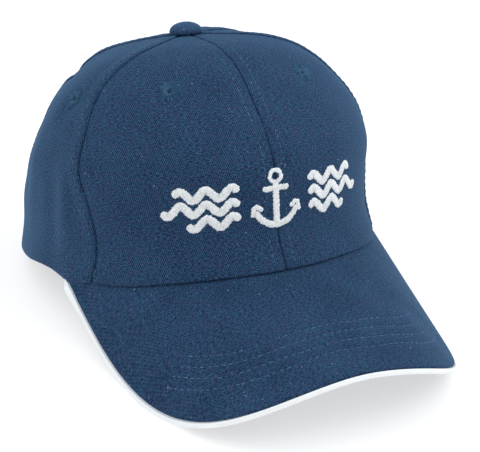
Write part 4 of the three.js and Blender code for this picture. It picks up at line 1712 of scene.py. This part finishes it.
def satin(path, width, look, seed, offset):
    """A bar of close threads laid across a line of places on the front, in metres from its middle."""
    run = arc_length(flat_places(path), 0)
    threads = max(int(run[-1] / look.thread), 3)
    count = threads * SATIN_PER_THREAD + 1
    place = np.linspace(0, run[-1], count)
    centre = np.stack([np.interp(place, run, path[:, k]) for k in range(2)], -1)
    along = unit(np.gradient(centre, axis=0))
    side = np.stack([-along[:, 1], along[:, 0]], -1)
    random = np.random.default_rng(seed)
    ends = random.uniform(*SATIN_RAGGED, (threads + 1, 2)) * MM
    of_thread = np.minimum(np.arange(count) // SATIN_PER_THREAD, threads)
    tip = np.clip(np.minimum(place, run[-1] - place) / (width / 2), SATIN_BLUNT, 1)
    half = width / 2 * np.sqrt(1 - (1 - tip) ** 2)
    ridge = np.abs(np.sin(np.pi * np.arange(count) / SATIN_PER_THREAD))
    ragged = np.where(SATIN_SIDES < 0, ends[of_thread, :1], ends[of_thread, 1:]) * np.abs(SATIN_SIDES) ** 3
    reach = SATIN_SIDES * half[:, None] + np.sign(SATIN_SIDES) * ragged
    level = random.uniform(*SATIN_LEVELS, threads + 1)[of_thread] * mix(SATIN_GROOVE, 1.0, ridge)
    height = look.relief * SATIN_DOME * level[:, None] * np.clip(half / MM, SATIN_LEAST, 1)[:, None]
    spots = centre[:, None] + side[:, None] * reach[..., None]
    turn, rise = front_spot(spots[..., 0], spots[..., 1] + look.height)
    base, normal = crown_cloth(turn, rise, offset, crease=0.0)
    top = base + normal * (height - SATIN_FOOT)[..., None]
    low = base - normal * SATIN_ROOT
    ring_points = np.concatenate([top, low[:, [-2, 1]]], 1)
    ring_points = np.concatenate([ring_points, ring_points[:, -1:] * 0.5 + top[:, :1] * 0.5], 1)
    return tubes(stand(ring_points)[None, :, ::-1])


def arc(centre, radius, start, end, count=60):
    angle = np.linspace(start, end, count)
    return np.stack([centre[0] + radius * cosine(angle), centre[1] + radius * sine(angle)], -1)


def bar(*corners):
    """A straight line through corners, with points close together."""
    corners = np.array(corners, float)
    share = np.linspace(0, len(corners) - 1, 20 * len(corners))
    return np.stack([np.interp(share, np.arange(len(corners)), corners[:, k]) for k in range(2)], -1)


# The anchor, in millimetres from the motif's middle
SHANK_TOP = 7.6
SHANK_FOOT = -11.2
STOCK_HEIGHT = 4.8
STOCK_HALF = 6.4
ANCHOR_RING = 2.7
ARMS_RADIUS = 10.6
ARMS_CENTRE = -1.2
ARMS_FROM = 198
ARMS_TO = 342
FLUKE = 5.4
# Widths as shares of a stroke: the anchor's thin one, and its parts as shares of that
THIN = 0.72
RING_SHARE = 0.72
ARMS_SHARE = 1.1
SHANK_SHARE = 1.15
FLUKE_SHARE = 0.8
# The waves beside it
WAVE_FROM = 17.5
WAVE_LENGTH = 11.6
WAVE_HEIGHT = 2.1
WAVE_POINTS = 120
# Each wave line: height of its middle and how many crests it has
WAVES = ((5.6, 2.5), (-0.9, 3.0), (-7.4, 2.0))


def anchor_strokes(look):
    """Paths and widths of the anchor's bars: ring, stock, arms, shank and two flukes."""
    thin = look.stroke * THIN
    strokes = [
        (arc((0, SHANK_TOP + ANCHOR_RING), ANCHOR_RING, -90, 285), thin * RING_SHARE),
        (bar((-STOCK_HALF, STOCK_HEIGHT), (STOCK_HALF, STOCK_HEIGHT)), thin),
        (arc((0, ARMS_CENTRE), ARMS_RADIUS, ARMS_FROM, ARMS_TO), thin * ARMS_SHARE),
        (bar((0, SHANK_TOP), (0, SHANK_FOOT)), thin * SHANK_SHARE),
    ]
    for side in (-1, 1):
        x = side * ARMS_RADIUS * cosine(ARMS_TO)
        y = ARMS_CENTRE + ARMS_RADIUS * sine(ARMS_TO)
        point = (x + side * 0.4, y + FLUKE * 0.45)
        strokes.append((bar((x - side * FLUKE * 0.62, y - 0.2), point), thin * FLUKE_SHARE))
        strokes.append((bar((x + side * FLUKE * 0.3, y - FLUKE * 0.5), point), thin * FLUKE_SHARE))
    return strokes


def wave_strokes(look):
    """Path and width of each wave line on both sides of the anchor."""
    for height, crests in WAVES:
        for side in (-1, 1):
            x = np.linspace(0, crests * WAVE_LENGTH, WAVE_POINTS)
            y = height + WAVE_HEIGHT * np.sin(TURNS * x / WAVE_LENGTH)
            yield np.stack([side * (WAVE_FROM + x), y], -1), look.stroke


class CAP_OT_embroidery(bpy.types.Operator):
    """Embroider a plain anchor between two sets of waves on the front"""

    bl_idname = "cap.embroidery"
    bl_label = "Embroidery"

    def execute(self, context):
        look = context.scene.cap_embroidery
        offset = context.scene.cap_stitching.seam_offset
        motifs = (("anchor_embroidery", anchor_strokes(look)), ("wave_embroidery", wave_strokes(look)))
        for name, strokes in motifs:
            bars = []
            for seed, (path, width) in enumerate(strokes):
                bars.append(satin(path * MM, width, look, seed, offset))
            add_piece(name, new_mesh(name, *joined(bars)), thread("white_thread"), "white_trim")
        return {"FINISHED"}


# Stage

CAMERA_SPOT = Vector((-0.313545, -0.641485, 0.384478))
CAMERA_RIGHT = Vector((0.90071, -0.43333, 0.03058))
CAMERA_UP = Vector((0.16422, 0.40483, 0.89952))
PHOTO_WIDTH = 480
FOCAL_PIXELS = 1667.25
SENSOR = 36.0
FLOOR_SIZE = 30.0
LAMP_SIZE = 1.6
LAMP_SPOT = Vector((1.1, -0.6, 1.4))
LAMP_TINT = (0.93, 0.97, 1.0)
FILL_SHARE = 0.85
FILL_SPOT = Vector((-0.9, 0.7, 1.7))
FILL_TINT = (0.74, 0.88, 1.0)


def add_lamp(name, spot, power, tint):
    """A square lamp that shines on the cap."""
    lamp = bpy.data.lights.new(name, "AREA")
    lamp.color = tint
    lamp.size = LAMP_SIZE
    lamp.energy = power
    holder = bpy.data.objects.new(name, lamp)
    holder.location = spot
    holder.rotation_euler = (-spot).to_track_quat("-Z", "Y").to_euler()
    bpy.context.scene.collection.objects.link(holder)


class CAP_OT_stage(bpy.types.Operator):
    """Set the floor, the soft light and the camera"""

    bl_idname = "cap.stage"
    bl_label = "Stage"

    def execute(self, context):
        scene = context.scene
        look = scene.cap_stage
        half = FLOOR_SIZE / 2
        corners = np.array([(-half, -half, 0), (half, -half, 0), (half, half, 0), (-half, half, 0)])
        mesh = new_mesh("floor", corners, [(0, 1, 2, 3)])
        mesh.materials.append(floor_paint())
        floor = bpy.data.objects.new("floor", mesh)
        scene.collection.objects.link(floor)
        world = bpy.data.worlds.new("Even light")
        world.use_nodes = True
        sky = world.node_tree.nodes["Background"].inputs
        sky["Color"].default_value = (1, 1, 1, 1)
        sky["Strength"].default_value = look.sky
        scene.world = world
        add_lamp("overhead_lamp", LAMP_SPOT, look.lamp, LAMP_TINT)
        add_lamp("side_lamp", FILL_SPOT, look.lamp * FILL_SHARE, FILL_TINT)
        scene.view_settings.view_transform = "Standard"
        camera = bpy.data.cameras.new("camera")
        camera.sensor_width = SENSOR
        camera.lens = FOCAL_PIXELS * SENSOR / PHOTO_WIDTH
        holder = bpy.data.objects.new("camera", camera)
        back = CAMERA_RIGHT.cross(CAMERA_UP).normalized()
        up = back.cross(CAMERA_RIGHT).normalized()
        turn = Matrix((up.cross(back), up, back)).transposed()
        holder.matrix_world = Matrix.Translation(CAMERA_SPOT) @ turn.to_4x4()
        scene.collection.objects.link(holder)
        scene.camera = holder
        return {"FINISHED"}


OPERATORS = (
    CAP_OT_panels,
    CAP_OT_crown_stitching,
    CAP_OT_peak,
    CAP_OT_peak_stitching,
    CAP_OT_trim,
    CAP_OT_button,
    CAP_OT_eyelets,
    CAP_OT_sweatband,
    CAP_OT_straps,
    CAP_OT_embroidery,
    CAP_OT_stage,
)
GROUPS = {
    "cap_cloth": CapCloth,
    "cap_stitching": CapStitching,
    "cap_embroidery": CapEmbroidery,
    "cap_stage": CapStage,
}


class CAP_PT_sidebar(bpy.types.Panel):
    """Lists the cap's sizes, colours and operators"""

    bl_label = "Cap"
    bl_space_type = "VIEW_3D"
    bl_region_type = "UI"
    bl_category = "Cap"

    def draw(self, context):
        for name, group in GROUPS.items():
            box = self.layout.box()
            box.label(text=group.__doc__)
            for prop in group.__annotations__:
                box.prop(getattr(context.scene, name), prop)
        for operator in OPERATORS:
            self.layout.operator(operator.bl_idname)


CLASSES = (*GROUPS.values(), *OPERATORS, CAP_PT_sidebar)


def register():
    for each in CLASSES:
        bpy.utils.register_class(each)
    for name, group in GROUPS.items():
        setattr(bpy.types.Scene, name, PointerProperty(type=group))


def unregister():
    for name in GROUPS:
        delattr(bpy.types.Scene, name)
    for each in reversed(CLASSES):
        bpy.utils.unregister_class(each)


def main():
    register()
    for operator in OPERATORS:
        group, name = operator.bl_idname.split(".")
        getattr(getattr(bpy.ops, group), name)()


if __name__ == "__main__":
    main()
